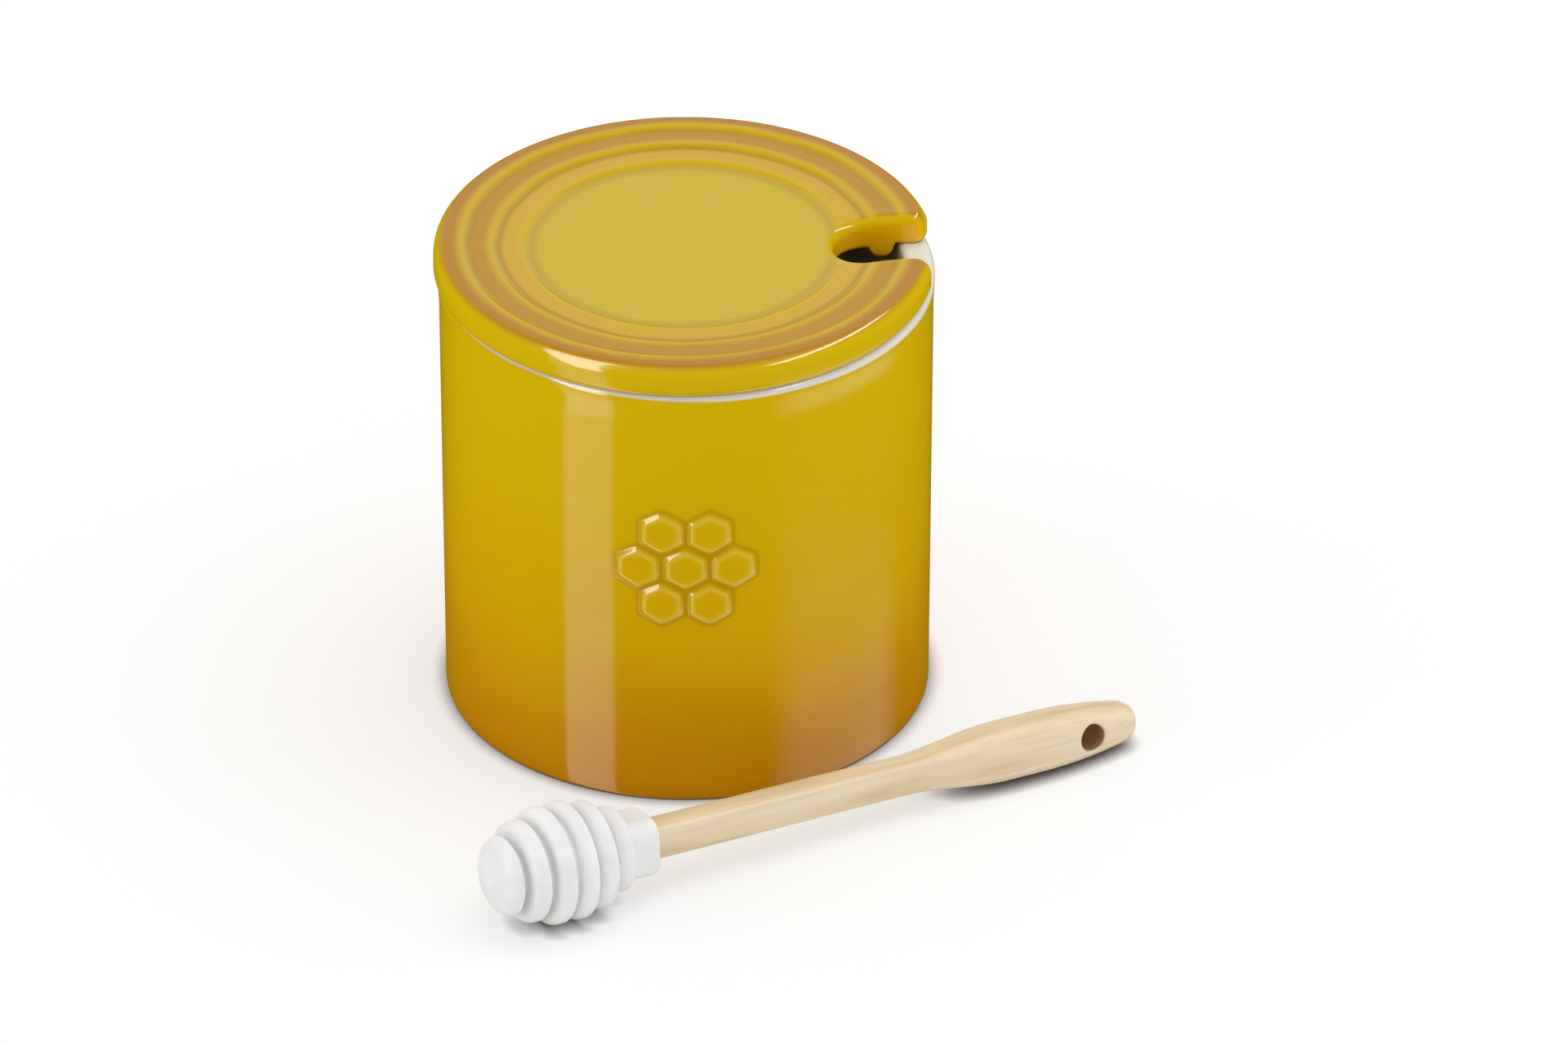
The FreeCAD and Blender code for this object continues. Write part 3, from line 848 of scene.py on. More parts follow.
@dataclass
class Lid:
    """The lift-off lid: a thick disc, stepped down to its middle, with a ring below and a slot."""

    seat_height: float = 98.0
    shift: float = -0.4
    radius: float = 51.6
    thickness: float = 6.7
    crests: Triple = (46.4, 40.05, 33.7)
    step_rise: float = 0.5
    step_slope: float = 2.2
    bead: Triple = (0.12, 0.1, 0.7)
    plate_drop: float = 1.0
    ring_inner: float = 39.4
    ring_outer: float = 44.1
    ring_drop: float = 3.2
    ring_fullness: float = 2.6
    slot_half: float = 7.6
    slot_end: float = 30.6
    slot_turn: float = 2.0
    lip_round: float = 3.2
    rim_round: float = 3.0
    rim_low_round: float = 1.6
    slot_top_round: float = 2.1
    slot_low_round: float = 1.2
    lip_blend: float = 2.6
    lip_reach: float = 2.2
    margin: float = 0.5
    rim_gap: float = 1.0
    lip_gap: float = 0.45
    wall_gap: float = 0.7
    end_gap: float = 0.6
    round_steps: int = 9
    side_shares: Triple = (0.25, 0.5, 0.75)
    circle_density: float = 7.0
    circle_most: int = 264
    step_circles: tuple[float, ...] = tuple(0.3 * i - 2.6 for i in range(13))
    top_circles: tuple[float, ...] = (*range(0, 30, 3), 35.4, 36.2, 37.0, 41.9, 42.7, 43.4, 47.9)
    low_circles: tuple[float, ...] = (*range(0, 39, 3), 45.4, 46.8)
    ring_circles: int = 16
    rim_mark: Point = (0.5, 2.1)
    slot_mark: Point = (0.5, 1.6)
    side_mark: Point = (1.0, 2.2)
    # Depths and reaches of the slot's wall that take its amber and painted light
    slot_lift_depth: Point = (0.8, 2.4)
    slot_lift_reach: Point = (0.3, 1.2)
    crease: float = 55.0
    finish: LidGlaze = field(default_factory=LidGlaze)

    def off_slot(self, x: float, y: float) -> float:
        """Distance in plan from the slot's wall, below zero inside the slot."""
        return math.hypot(min(x - self.slot_end - self.slot_half, 0.0), y) - self.slot_half

    def top(self, x: float, y: float) -> float:
        """Height of the top above the seat: stepped, and evened out to a smooth lip beside the slot.

        Args:
            x: The place along the slot.
            y: The place across the slot.

        Returns:
            The height.
        """
        radius = math.hypot(x, y)
        height = self.thickness
        for crest in self.crests:
            height -= self.step_rise * (1 - smooth(crest - self.step_slope, crest, radius))
            height += bell(radius - crest, *self.bead)
        dish = self.step_rise * len(self.crests)
        even = self.thickness - dish * (1 - smooth(self.slot_end, self.crests[0], radius))
        beside = 1 - smooth(self.slot_top_round, self.slot_top_round + self.lip_blend, self.off_slot(x, y))
        return height + (even - height) * beside

    def underside(self, x: float, y: float) -> float:
        """Height of the underside above the seat at a place in plan.

        Args:
            x: The place along the slot.
            y: The place across the slot.

        Returns:
            The height.
        """
        radius = math.hypot(x, y)
        middle = (self.ring_inner + self.ring_outer) / 2
        across = (radius - middle) / (self.ring_outer - middle)
        plain = -self.plate_drop if across < 0 else 0.0
        lobe = max(0.0, 1 - abs(across) ** self.ring_fullness) ** (1 / self.ring_fullness)
        return plain - (self.ring_drop + plain) * lobe

    def wall(self, start: float, end: float, y: float) -> Walk:
        """Walks along one side of the slot, short of its last point."""
        count = math.ceil(abs(end - start) / self.wall_gap)
        inward = Vector((0.0, math.copysign(1.0, y)))
        return [(Vector((start + (end - start) * step / count, y)), inward, 1.0) for step in range(count)]

    def outline(self) -> Walk:
        """Walks round the lid's plan with its slot along +x, from one lip to the other and through the slot.

        Returns:
            Points, the way into the clay at each, and how far each belongs to the slot.
        """
        lip_y = self.slot_half + self.lip_round
        lip_x = math.sqrt((self.radius - self.lip_round) ** 2 - lip_y ** 2)
        lip_turn = math.atan2(lip_y, lip_x)
        end_x = self.slot_end + self.slot_half
        quarter = math.pi / 2
        return [
            *arc((0.0, 0.0), self.radius, (lip_turn, 2 * math.pi - lip_turn), self.rim_gap, (0.0, 0.0), -1.0),
            *arc((lip_x, -lip_y), self.lip_round, (-lip_turn, quarter), self.lip_gap, (0.0, 1.0), -1.0),
            *self.wall(lip_x, end_x, -self.slot_half),
            *arc((end_x, 0.0), self.slot_half, (-quarter, -3 * quarter), self.end_gap, (1.0, 1.0), 1.0),
            *self.wall(end_x, lip_x, self.slot_half),
            *arc((lip_x, lip_y), self.lip_round, (-quarter, lip_turn), self.lip_gap, (1.0, 0.0), -1.0),
        ]

    def edge_rings(
        self, walk: Walk, rounds: Point, surface: Callable[[float, float], float], fall: float
    ) -> list[list[Vector]]:
        """Rounds the edge between a flat of the lid and its side.

        Args:
            walk: The lid's plan.
            rounds: The rounding at the rim and in the slot.
            surface: The flat's height at a place in plan.
            fall: 1 where the edge falls from the top, -1 where it rises from the underside.

        Returns:
            Rings of vertices from the flat to the side.
        """
        rings = []
        for step in range(self.round_steps + 1):
            angle = math.pi / 2 * (1 - step / self.round_steps)
            ring = []
            for point, inward, slot in walk:
                rounding = rounds[0] + (rounds[1] - rounds[0]) * slot
                place = point + inward * rounding * (1 - math.cos(angle))
                ring.append(Vector((*place, surface(*place) - fall * rounding * (1 - math.sin(angle)))))
            rings.append(ring)
        return rings

    def ring_places(self) -> list[list[Vector]]:
        """Works out the rings from the top's inner edge, over the side, to the underside's inner edge.

        Returns:
            The rings' vertices, in millimetres.
        """
        walk = self.outline()
        upper = self.edge_rings(walk, (self.rim_round, self.slot_top_round), self.top, 1.0)
        lower = self.edge_rings(walk, (self.rim_low_round, self.slot_low_round), self.underside, -1.0)[::-1]
        side = []
        for share in self.side_shares:
            side.append([high.lerp(low, share) for high, low in zip(upper[-1], lower[0])])
        return [*upper, *side, *lower]

    def clear_of_edges(self, x: float, y: float, rim: float, slot: float) -> bool:
        """Tells whether a point in plan lies inside the rounded edges.

        Args:
            x: The point's place along the slot.
            y: Its place across the slot.
            rim: The width kept clear inside the rim.
            slot: The width kept clear round the slot.

        Returns:
            True where the point is on the flat of the lid.
        """
        lip_y = self.slot_half + self.lip_round
        at_lip = x > self.radius - self.lip_reach * self.lip_round and abs(y) < lip_y + self.margin
        return math.hypot(x, y) < self.radius - rim and self.off_slot(x, y) > slot and not at_lip

    def fill(self, shaping: Shaping, ring: list[Vert], radii: Sequence[float],
             height: Callable[[float, float], float], slot_round: float) -> None:
        """Fills a ring with faces that follow the lid's circles.

        Args:
            shaping: The lid's mesh.
            ring: The open ring of vertices.
            radii: The circles that carry vertices.
            height: The surface's height at a place in plan.
            slot_round: The rounding beside the slot.
        """
        points = [Vector((vertex.co.x / MM, vertex.co.y / MM)) for vertex in ring]
        edge_count = len(points)
        for radius in radii:
            count = max(1, min(self.circle_most, int(radius * self.circle_density)))
            for step in range(count):
                angle = 2 * math.pi * step / count
                x, y = radius * math.cos(angle), radius * math.sin(angle)
                if self.clear_of_edges(x, y, self.rim_round + self.margin, slot_round + self.margin):
                    points.append(Vector((x, y)))
        loop = [(i, (i + 1) % edge_count) for i in range(edge_count)]
        places, _, faces, origins, _, _ = delaunay_2d_cdt(points, loop, [], FILL_INSIDE, FILL_TOUCH)
        vertices = []
        for place, origin in zip(places, origins):
            if origin and origin[0] < edge_count:
                vertices.append(ring[origin[0]])
            else:
                vertices.append(shaping.bm.verts.new(Vector((place.x, place.y, height(*place))) * MM))
        for face in faces:
            shaping.bm.faces.new([vertices[i] for i in face])

    def build(self) -> Piece:
        """Rounds the edges ring by ring, fills the top and the underside, and seats the lid.

        Returns:
            The finished piece.
        """
        rings = self.ring_places()
        shaping = Shaping("lid_glazed", rings[0])
        for places in rings[1:]:
            shaping.stack(places)
        flat_edge = self.radius - self.rim_round
        steps = [crest + off for crest in self.crests for off in self.step_circles]
        radii = sorted({round(radius, 2) for radius in (*steps, *self.top_circles) if radius < flat_edge})
        self.fill(shaping, shaping.rings[0], radii, self.top, self.slot_top_round)
        middle = (self.ring_inner + self.ring_outer) / 2
        reach = (self.ring_outer - self.ring_inner) / 2
        turns = [math.pi * i / self.ring_circles for i in range(self.ring_circles + 1)]
        low_radii = sorted((*self.low_circles, *(middle - reach * math.cos(turn) for turn in turns)))
        self.fill(shaping, shaping.rings[-1], low_radii, self.underside, self.slot_low_round)
        piece = leave_edit(shaping.piece, self.crease)
        self.mark_edges(piece)
        piece.data.transform(
            Matrix.Translation(Vector((self.shift, 0, self.seat_height)) * MM)
            @ Matrix.Rotation(math.radians(self.slot_turn), 4, "Z")
        )
        return piece

    def mark_edges(self, piece: Piece) -> None:
        """Marks how near each vertex is to the rim's side, the slot's side or the underside, and how deep it
        lies on the slot's wall, where the glaze's amber is brightened as painted light.

        Args:
            piece: The lid, before it is seated.
        """
        edges = []
        slot_amber_and_lift = []
        for vertex in piece.data.vertices:
            x, y, z = vertex.co / MM
            from_slot = self.off_slot(x, y)
            down = self.top(x, y) - z
            rim = 1 - smooth(*self.rim_mark, self.radius - math.hypot(x, y))
            beside_slot = 1 - smooth(*self.slot_mark, from_slot)
            edges.append(max(rim, beside_slot, smooth(*self.side_mark, down)))
            # Painted light in the slot: the deep wall is marked for a brighter amber
            slot_amber_and_lift.append(smooth(*self.slot_lift_depth, down) * (1 - smooth(*self.slot_lift_reach, from_slot)))
        set_attribute(piece, "edge", edges)
        set_attribute(piece, "slot", slot_amber_and_lift)

    def dress(self, piece: Piece) -> None:
        """Glazes the lid and puts it in the place of its solid."""
        dress(piece, self.finish.make(), "lid", "lid_glaze", "lid")


class Face(Enum):
    """The two broad faces of the handle that the hang hole opens through."""

    FRONT = 1
    BACK = -1


@dataclass
class DipperLay:
    """How the dipper lies: its tip, its heading over the table, its fall to the grip and its roll."""

    tip: Triple = (-40.4700, -101.0210, 13.3869)
    heading: float = 29.5
    fall: float = 3.15679
    roll: float = -9.0

    def matrix(self) -> Matrix:
        """Turns the dipper's own axes, with x from its tip to its butt, into the table's, in metres."""
        turn = Euler((math.radians(self.roll), math.radians(self.fall), math.radians(self.heading)), "XYZ")
        return Matrix.Translation(Vector(self.tip) * MM) @ turn.to_matrix().to_4x4()


@dataclass
class DipperHead:
    """The dipper's head: a domed nose, five soft ribs and a squared collar round the handle's end."""

    lay: Matrix
    nose_radius: float = 8.3
    nose_dome: float = 4.1
    nose_thickness: float = 4.65
    nose_steps: int = 24
    nose_round: float = 0.4
    ribs: tuple[Point, ...] = ((7.95, 10.67), (13.05, 12.32), (18.15, 12.37), (23.25, 11.35), (28.35, 9.0))
    rib_half: float = 1.8
    rib_front_round: float = 2.1
    rib_back_round: float = 0.6
    groove_depth: float = 2.5
    groove_round: float = 0.5
    collar_start: float = 30.15
    collar_end: float = 37.4
    collar_half: float = 6.3
    collar_corner: float = 3.4
    collar_low_round: float = 0.8
    collar_end_round: float = 1.0
    collar_blend: Point = (6.6, 8.5)
    socket_half: float = 3.56
    socket_corner: float = 0.91
    socket_end: float = 30.3
    socket_mouth_round: float = 0.25
    socket_floor_round: float = 0.2
    corner_steps: int = 6
    longest_run: float = 1.2
    steps: int = 120
    crease: float = 60.0
    finish: Silicone = field(default_factory=Silicone)

    def profile(self) -> list[Point]:
        """Draws the half section from the nose, over the ribs and the collar, into the socket.

        Returns:
            Places along the axis and radii, in order.
        """
        turns = [math.pi / 2 * step / self.nose_steps for step in range(self.nose_steps + 1)]
        line: list[Corner] = [
            (self.nose_dome * (1 - math.cos(turn)), self.nose_radius * math.sin(turn)) for turn in turns
        ]
        line.append((self.nose_thickness, self.nose_radius, self.nose_round))
        radii = [self.nose_radius, *(radius for _, radius in self.ribs)]
        for index, (place, radius) in enumerate(self.ribs):
            floor = min(radii[index], radius) - self.groove_depth
            front, back = place - self.rib_half, place + self.rib_half
            line += [(line[-1][0], floor, self.groove_round), (front, floor, self.groove_round)]
            line += [(front, radius, self.rib_front_round), (back, radius, self.rib_back_round)]
        line += [
            (self.collar_start, self.collar_half, self.collar_low_round),
            (self.collar_end, self.collar_half, self.collar_end_round),
            (self.collar_end, self.socket_half, self.socket_mouth_round),
            (self.socket_end, self.socket_half, self.socket_floor_round),
            (self.socket_end, 0.0),
        ]
        return divided(rounded(line, self.corner_steps), self.gap)

    def gap(self, place: Point) -> float:
        """Longest run allowed near a point of the half section, the same all along it."""
        return self.longest_run

    def squared(self, angle: float, radius: float) -> float:
        """Turns a collar or socket radius into the distance to a rounded square.

        Args:
            angle: The angle round the dipper's axis.
            radius: Half the square's side.

        Returns:
            The distance from the axis to the square at that angle.
        """
        share = smooth(self.socket_half, self.collar_half, radius)
        corner = min(radius, self.socket_corner + (self.collar_corner - self.socket_corner) * share)
        across, up = sorted((abs(math.sin(angle)), abs(math.cos(angle))))
        flat = radius - corner
        if radius * across / up <= flat:
            return radius / up
        reach = flat * (across + up)
        return reach + math.sqrt(max(0.0, reach * reach - 2 * flat * flat + corner * corner))

    def build(self) -> Piece:
        """Spins the ribs and the collar, squares the collar and its socket, and lays the head down.

        Returns:
            The finished piece.
        """
        profile = [Vector((s, r, 0.0)) for s, r in self.profile()]
        piece = spun("dipper_head_moulded", profile, Vector((1, 0, 0)), ((360.0, self.steps),))
        leave_edit(piece, self.crease)
        for vertex in piece.data.vertices:
            s, y, z = vertex.co / MM
            radius = math.hypot(y, z)
            if s < self.collar_start - TOUCH or radius < TOUCH:
                continue
            share = 1 - smooth(*self.collar_blend, radius)
            scale = 1 + share * (self.squared(math.atan2(z, y), radius) / radius - 1)
            vertex.co = Vector((s, y * scale, z * scale)) * MM
        piece.data.transform(self.lay)
        return piece

    def dress(self, piece: Piece) -> None:
        """Gives the head its silicone and puts it in the place of its two solids."""
        dress(piece, self.finish.make(), "dipper_head", "silicone", "dipper_head", "dipper_collar")
        piece.visible_glossy = False


@dataclass
class DipperHandle:
    """The beech handle: a squared shaft that swells to a round grip with a hang hole near its end."""

    lay: Matrix
    plug_start: float = 30.45
    shaft_start: float = 37.4
    shaft_half: float = 3.5
    shaft_corner: float = 0.85
    neck_at: float = 97.0
    neck_half: float = 3.35
    grip_start: float = 121.0
    grip_end: float = 129.0
    grip_half: float = 5.95
    grip_corner: float = 4.75
    butt_end: float = 152.6
    butt_half: float = 3.45
    butt_corner: float = 2.75
    butt_round: float = 2.9
    butt_steps: int = 10
    hole_at: float = 140.3
    hole_radius: float = 2.9
    hole_round: float = 0.7
    hole_steps: int = 5
    hole_lead: tuple[float, ...] = (0.3, 0.6, 0.85, 1.0)
    # Depths below the face over which the hang hole's painted shade deepens
    hole_shade_edges: Point = (0.15, 0.9)
    bore_cuts: int = 4
    columns: int = 64
    patch_columns: int = 9
    patch_half: float = 4.8
    run_counts: tuple[int, ...] = (6, 24, 5, 10, 16, 4)
    crease: float = 40.0
    finish: Beech = field(default_factory=Beech)

    def section(self, s: float) -> Point:
        """Half side and corner radius of the handle's section at a place along it.

        Args:
            s: The place, from the dipper's tip.

        Returns:
            The half side and the corner radius.
        """
        if s <= self.neck_at:
            share = max(0.0, (s - self.shaft_start) / (self.neck_at - self.shaft_start))
            return self.shaft_half + share * (self.neck_half - self.shaft_half), self.shaft_corner
        rise = smooth(self.neck_at, self.grip_start, s)
        half = self.neck_half + rise * (self.grip_half - self.neck_half)
        corner = self.shaft_corner + rise * (self.grip_corner - self.shaft_corner)
        if s > self.grip_end:
            fall = ((s - self.grip_end) / (self.butt_end - self.grip_end)) ** 2
            half += fall * (self.butt_half - self.grip_half)
            corner += fall * (self.butt_corner - self.grip_corner)
        into_butt = s - (self.butt_end - self.butt_round)
        if into_butt > 0:
            drawn_in = half - self.butt_round + math.sqrt(max(0.0, self.butt_round ** 2 - into_butt ** 2))
            corner = drawn_in - (half - corner) * (drawn_in / half) ** 2
            half = drawn_in
        return half, corner

    def ring(self, s: float) -> list[Vector]:
        """Places one ring of vertices across the handle, from the middle of its front face.

        Args:
            s: The ring's place, from the dipper's tip.

        Returns:
            The ring's vertices, in millimetres.
        """
        half, corner = self.section(s)
        ring = []
        for column in range(self.columns):
            across, out = square_point(column / self.columns, half, corner)
            ring.append(Vector((s, -out, across)))
        return ring

    def stations(self) -> list[float]:
        """Places of the rings along the handle, close together at the grip and the butt.

        Returns:
            The places, from the dipper's tip.
        """
        hole_low, hole_high = self.hole_at - self.patch_half, self.hole_at + self.patch_half
        butt_start = self.butt_end - self.butt_round
        places = [self.plug_start, self.shaft_start]
        ends = (self.neck_at, self.grip_start, self.grip_end, hole_low, hole_high, butt_start)
        for end, count in zip(ends, self.run_counts):
            start = places[-1]
            places += [start + (end - start) * step / count for step in range(1, count + 1)]
        for step in range(1, self.butt_steps + 1):
            places.append(butt_start + self.butt_round * math.sin(math.pi / 2 * step / self.butt_steps))
        return places

    def face_height(self, s: float, across: float) -> float:
        """Height of the broad face over the handle's axis at a place on it."""
        half, corner = self.section(s)
        beyond = max(0.0, abs(across) - (half - corner))
        return half - corner + math.sqrt(max(0.0, corner ** 2 - beyond ** 2))

    def open_hole(self, shaping: Shaping, stations: Sequence[float], face: Face) -> list[Vert]:
        """Cuts a patch out of one broad face and leads it down over a soft edge into the hole.

        Args:
            shaping: The handle's mesh.
            stations: The places of its rings.
            face: The face to open.

        Returns:
            The ring of vertices at the hole's edge.
        """
        rows = [i for i, s in enumerate(stations) if abs(s - self.hole_at) < self.patch_half + TOUCH]
        middle = 0 if face is Face.FRONT else self.columns // 2
        columns = [(middle + c) % self.columns for c in range(-self.patch_columns, self.patch_columns + 1)]
        grid = [[shaping.rings[row][column] for column in columns] for row in rows]
        rim = [*grid[0][:-1], *(row[-1] for row in grid[:-1])]
        rim += [*grid[-1][:0:-1], *(row[0] for row in grid[:0:-1])]
        inside = {vertex for row in grid for vertex in row}
        bpy.ops.mesh.select_all(action="DESELECT")
        bpy.context.tool_settings.mesh_select_mode = (False, False, True)
        for patch_face in {f for vertex in inside for f in vertex.link_faces}:
            if all(vertex in inside for vertex in patch_face.verts):
                patch_face.select_set(True)
        bpy.ops.mesh.delete(type="FACE")
        bpy.context.tool_settings.mesh_select_mode = (False, True, False)
        starts = [Vector((vertex.co.x / MM - self.hole_at, vertex.co.z / MM)) for vertex in rim]
        soft = self.hole_radius + self.hole_round
        for share in self.hole_lead:
            places = [start.lerp(start.normalized() * soft, share) for start in starts]
            rim = shaping.grow(rim, [self.on_face(place, 0.0, face) for place in places])
        for step in range(1, self.hole_steps + 1):
            angle = math.pi / 2 * step / self.hole_steps
            reach = soft - self.hole_round * math.sin(angle)
            sunk = self.hole_round * (1 - math.cos(angle))
            places = [start.normalized() * reach for start in starts]
            rim = shaping.grow(rim, [self.on_face(place, sunk, face) for place in places])
        return rim

    def on_face(self, place: Vector, sunk: float, face: Face) -> Vector:
        """Puts a place near the hole onto a broad face, or some way below it."""
        s = self.hole_at + place.x
        out = self.face_height(s, place.y) - sunk
        return Vector((s, -out * face.value, place.y))

    def build(self) -> Piece:
        """Stacks the sections, closes both ends, opens the hang hole and lays the handle down.

        Returns:
            The finished piece.
        """
        stations = self.stations()
        shaping = Shaping("dipper_handle_turned", self.ring(stations[0]))
        for s in stations[1:]:
            shaping.stack(self.ring(s))
        shaping.close(shaping.rings[0])
        shaping.close(shaping.rings[-1])
        rims = [self.open_hole(shaping, stations, face) for face in Face]
        bpy.ops.mesh.select_all(action="DESELECT")
        for rim in rims:
            shaping.select_ring(rim)
        bpy.ops.mesh.bridge_edge_loops(number_cuts=self.bore_cuts)
        piece = leave_edit(shaping.piece, self.crease)
        self.mark_hole_shade(piece)
        piece.data.transform(self.lay)
        return piece

    def mark_hole_shade(self, piece: Piece) -> None:
        """Marks the drilled wall of the hang hole for a painted shade that darkens it with depth below the
        face.

        Args:
            piece: The handle, before it is laid down.
        """
        marks = []
        for vertex in piece.data.vertices:
            s, y, z = vertex.co / MM
            from_axis = math.hypot(s - self.hole_at, z)
            below = self.face_height(s, z) - abs(y)
            in_hole = from_axis < self.hole_radius + self.hole_round
            marks.append(smooth(*self.hole_shade_edges, below) if in_hole else 0.0)
        set_attribute(piece, "hole_shade_depth", marks)

    def dress(self, piece: Piece) -> None:
        """Gives the handle its wood and puts it in the place of its solid."""
        dress(piece, self.finish.make(self.lay), "dipper", "beech", "dipper_handle")
        piece.visible_glossy = False


@dataclass(frozen=True)
class SoftLamp:
    """A soft rectangular lamp: its place and aim in millimetres, its sides and its power in watts."""

    name: str
    place: Triple
    aim: Triple
    sides: Point
    power: float

    def add(self) -> None:
        """Hangs the lamp, hidden from the camera and from gloss."""
        data = bpy.data.lights.new(self.name, "AREA")
        data.shape = "RECTANGLE"
        data.size, data.size_y = metres(self.sides)
        data.energy = self.power
        lamp = bpy.data.objects.new(self.name, data)
        bpy.context.scene.collection.objects.link(lamp)
        lamp.location = metres(self.place)
        lamp.rotation_euler = (Vector(self.place) - Vector(self.aim)).to_track_quat("Z", "Y").to_euler()
        lamp.visible_camera = False
        lamp.visible_glossy = False


@dataclass(frozen=True)
class Reflector:
    """A lit card that only gloss sees, faded over a share of its width at its two sides.

    Places and sides are in millimetres.
    """

    name: str
    place: Triple
    aim: Triple
    sides: Point
    level: float
    soft: Point
    up: Triple = (0.0, 0.0, 1.0)

    def add(self) -> None:
        """Stands the card up and lights it."""
        bpy.ops.object.select_all(action="DESELECT")
        bpy.ops.mesh.primitive_plane_add(size=1.0)
        card = bpy.context.object
        card.name = self.name
        facing = (Vector(self.aim) - Vector(self.place)).normalized()
        across = Vector(self.up).cross(facing).normalized()
        card.rotation_euler = Matrix((across, facing.cross(across), facing)).transposed().to_euler()
        card.scale = (*metres(self.sides), 1.0)
        card.location = metres(self.place)
        material, nodes = glow_material(self.name)
        faded = nodes.stripe(nodes.axes(nodes.place())["X"], -CARD_EDGE, CARD_EDGE, self.soft)
        clear = add_node(nodes.tree, "ShaderNodeBsdfTransparent").outputs[0]
        nodes.end(nodes.either(faded, clear, nodes.glow(nodes.maths("MULTIPLY", faded, self.level))))
        show_to_gloss(card, material)


@dataclass(frozen=True)
class Sheen:
    """A soft upright stripe of light on the pot's wall, painted on the tent that the gloss mirrors.

    Angles are in degrees round the wall, from its front towards its right. Ends are (height, level) pairs,
    with the height in millimetres up the wall.
    """

    start: float
    stop: float
    soft: Point
    low: Point
    high: Point

    def paint(self, nodes: Nodes, angle: Socket, height: Socket) -> Socket:
        """Works out the stripe's level from where a place on the tent shows on the wall.

        Args:
            nodes: The tent's nodes.
            angle: The angle round the wall at which the place shows.
            height: The height up the wall at which it shows.

        Returns:
            The level.
        """
        (low, low_level), (high, high_level) = self.low, self.high
        level = nodes.span(height, (low, high), (low_level, high_level))
        return nodes.maths("MULTIPLY", nodes.stripe(angle, self.start, self.stop, self.soft), level)


def glow_material(name: str) -> tuple[Material, Nodes]:
    """Makes an empty material for a lit card, which is not sampled as a lamp."""
    material = bpy.data.materials.new(name)
    material.cycles.emission_sampling = "NONE"
    return material, Nodes(material)


def show_to_gloss(card: Piece, material: Material) -> None:
    """Lights a piece of the studio and lets it show in reflections alone.

    Args:
        card: The piece.
        material: Its light.
    """
    card.data.materials.append(material)
    card.visible_camera = False
    card.visible_diffuse = False
    card.visible_shadow = False
    card.visible_transmission = False


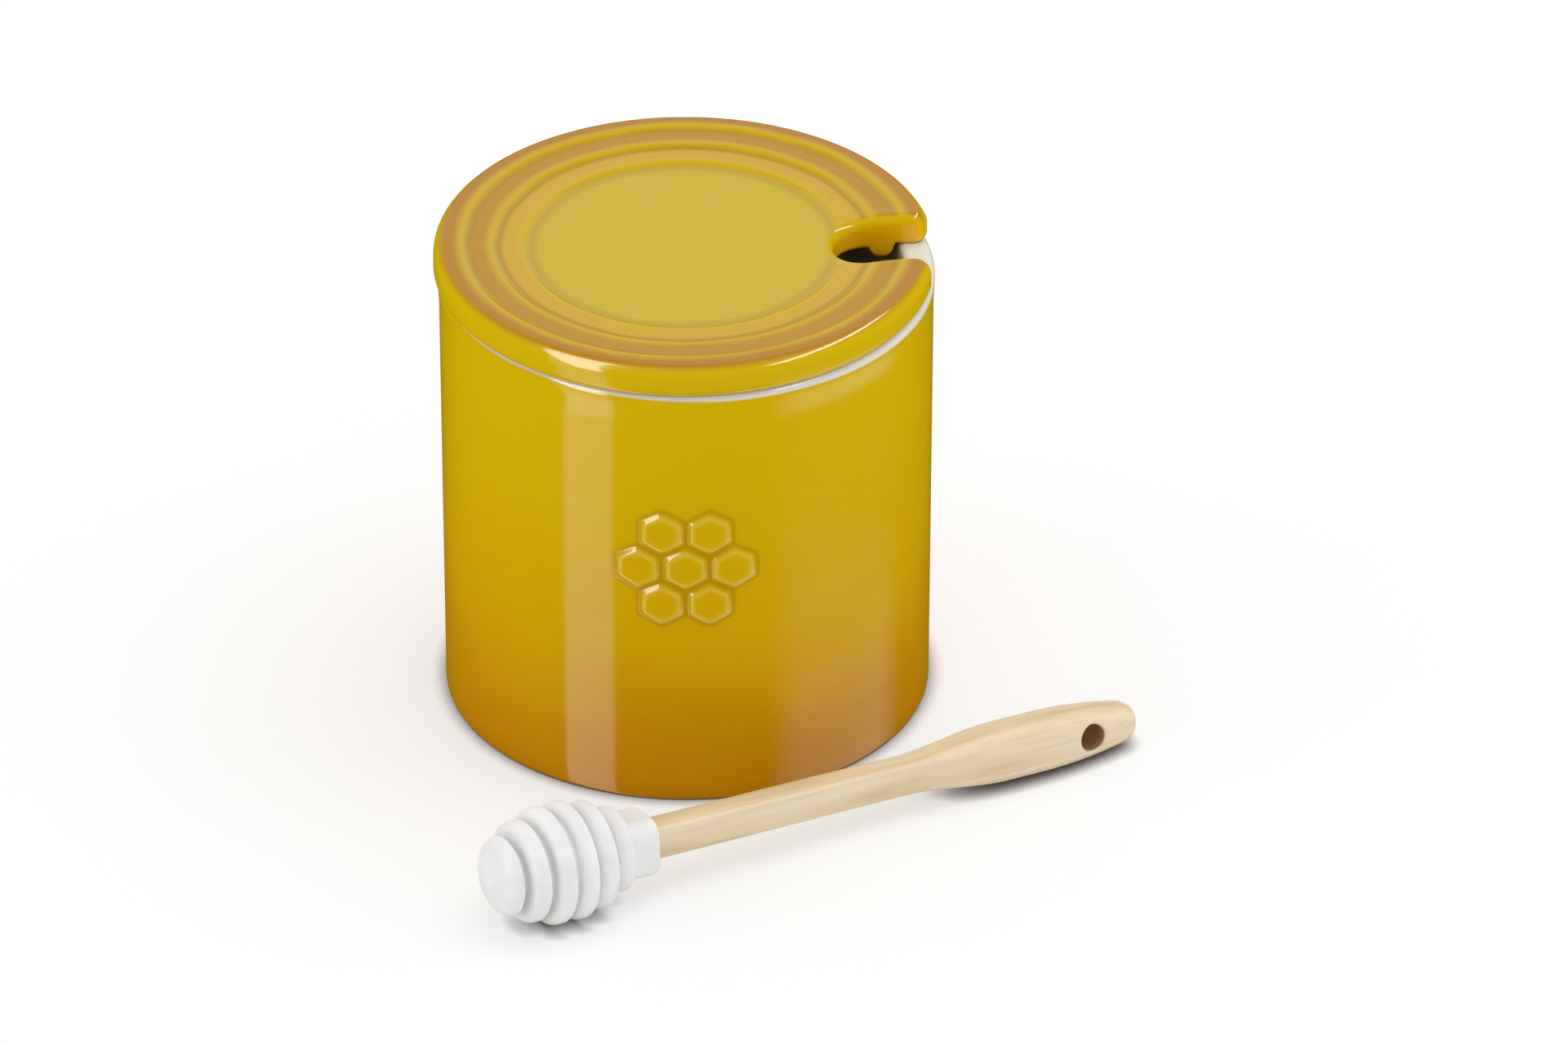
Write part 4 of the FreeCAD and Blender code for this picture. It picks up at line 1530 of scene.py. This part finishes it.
@dataclass
class Studio:
    """The plain pale floor, the soft light and the camera at the photograph's angle."""

    floor_side: float = 9000.0
    floor_white: str = "#f7f7f7"
    # The brown of the painted contact shadow on the floor
    floor_shade: str = "#5a4a3c"
    floor_lift: float = 0.52
    contact_reach: float = 3.5
    contact_depth: float = 1.5
    contact_samples: int = 8
    world_level: float = 0.85
    tent_radius: float = 2700.0
    tent_amber: str = "#8c7414"
    tent_segments: int = 48
    tent_rings: int = 24
    mirror_scale: float = 0.833
    mirror_level: float = 1226.0
    target: Triple = (20.1, 0.0, 36.3)
    distance: float = 4080.0
    elevation: float = 31.9
    lens: float = 452.0
    sensor: float = 36.0
    farthest: float = 50.0
    lamps: tuple[SoftLamp, ...] = (
        SoftLamp("overhead_softbox", (450, 150, 1250), (0, 0, 40), (1000, 1000), 4.6),
        SoftLamp("left_fill", (-1300, -200, 500), (0, 0, 40), (600, 900), 3.0),
        SoftLamp("right_fill", (1300, -100, 500), (0, 0, 40), (600, 900), 1.0),
    )
    sheens: tuple[Sheen, ...] = (
        Sheen(-30.0, -17.0, (0.8, 0.8), (10.0, 1.9), (60.0, 1.1)),
        Sheen(19.0, 62.0, (10.0, 12.0), (12.0, 0.95), (64.0, 0.0)),
    )
    reflectors: tuple[Reflector, ...] = (
        Reflector("left_window", (-1090, -905, 930), (-228, -450, -210), (640, 2500), 9.0, (0.1, 0.1),
                  (0.367, 0.735, 0.571)),
        Reflector("right_strip", (1000, 0, 1480), (0, 0, 103), (260, 1900), 14.0, (0.1, 0.1),
                  (0.0, 1.0, 0.0)),
        Reflector("back_card", (0, 1500, 1000), (0, 0, 103), (2600, 1300), 0.55, (0.15, 0.15)),
    )

    def build(self) -> None:
        """Lays the floor, sets the world and the lamps, and places the camera."""
        self.lay_floor()
        self.hang_tent()
        self.set_world()
        for light in (*self.lamps, *self.reflectors):
            light.add()
        self.place_camera()

    def lay_floor(self) -> None:
        """Lays a pale matt floor with a painted contact shadow, lifted towards white where it is seen."""
        bpy.ops.object.select_all(action="DESELECT")
        bpy.ops.mesh.primitive_plane_add(size=self.floor_side * MM)
        floor = bpy.context.object
        floor.name = "pale_floor"
        material = bpy.data.materials.new("matt_paper")
        nodes = Nodes(material)
        # Painted contact shadow: the paper's colour darkens where something touches it, and the touching
        # shadow is close and brown
        open_sky = add_node(nodes.tree, "ShaderNodeAmbientOcclusion", {
            "Distance": self.contact_reach * MM,
        }, {"samples": self.contact_samples}).outputs["AO"]
        clear = nodes.maths("POWER", open_sky, self.contact_depth)
        tone = nodes.blend(clear, linear(self.floor_shade), linear(self.floor_white))
        paper = add_node(nodes.tree, "ShaderNodeBsdfDiffuse", {"Color": tone}).outputs[0]
        seen = nodes.maths("MULTIPLY", nodes.seen_rays(), clear)
        lift = nodes.maths("MULTIPLY", seen, self.floor_lift)
        nodes.end(nodes.either(lift, paper, nodes.glow(1.0)))
        floor.data.materials.append(material)
        floor.visible_glossy = False

    def hang_tent(self) -> None:
        """Hangs a dim amber tent all round, which keeps the gloss deep in colour and carries its stripes."""
        bpy.ops.object.select_all(action="DESELECT")
        bpy.ops.mesh.primitive_uv_sphere_add(
            segments=self.tent_segments, ring_count=self.tent_rings, radius=self.tent_radius * MM
        )
        tent = bpy.context.object
        tent.name = "amber_tent"
        material, nodes = glow_material(tent.name)
        axes = nodes.axes(nodes.place())
        turn = nodes.maths("ARCTAN2", axes["X"], nodes.maths("MULTIPLY", axes["Y"], -1.0))
        # A mirror that turns by one degree turns the view in it by two
        angle = nodes.maths("MULTIPLY", turn, math.degrees(0.5))
        height = nodes.maths("MULTIPLY_ADD", axes["Z"], self.mirror_scale / MM, self.mirror_level)
        light = nodes.glow(1.0, self.tent_amber)
        for sheen in self.sheens:
            stripe = nodes.glow(sheen.paint(nodes, angle, height))
            light = add_node(nodes.tree, "ShaderNodeAddShader", {0: light, 1: stripe}).outputs[0]
        nodes.end(light)
        show_to_gloss(tent, material)

    def set_world(self) -> None:
        """Lights the scene evenly and shows white as its background."""
        world = bpy.data.worlds.new("white_room")
        nodes = Nodes(world)
        rooms = []
        for level in (self.world_level, 1.0):
            inputs = {"Color": linear(WHITE), "Strength": level}
            rooms.append(add_node(nodes.tree, "ShaderNodeBackground", inputs).outputs[0])
        nodes.end(nodes.either(nodes.seen_rays(), *rooms), "ShaderNodeOutputWorld")
        world.cycles.sampling_method = "NONE"
        bpy.context.scene.world = world
        bpy.context.scene.view_settings.view_transform = "Standard"

    def place_camera(self) -> None:
        """Stands a long lens where the photograph was taken from."""
        data = bpy.data.cameras.new("long_lens")
        data.lens = self.lens
        data.sensor_width = self.sensor
        data.clip_end = self.farthest
        camera = bpy.data.objects.new("long_lens", data)
        bpy.context.scene.collection.objects.link(camera)
        lift = math.radians(self.elevation)
        back = Vector((0.0, -math.cos(lift), math.sin(lift)))
        camera.location = (Vector(self.target) + back * self.distance) * MM
        camera.rotation_euler = back.to_track_quat("Z", "Y").to_euler()
        bpy.context.scene.camera = camera


def main() -> None:
    """Builds and dresses each piece, then the studio round them."""
    logging.basicConfig(level=logging.INFO, format="%(name)s %(message)s")
    lay = DipperLay().matrix()
    for maker in (Pot(), Lid(), DipperHead(lay), DipperHandle(lay)):
        maker.dress(maker.build())
    Studio().build()


if __name__ == "__main__":
    main()
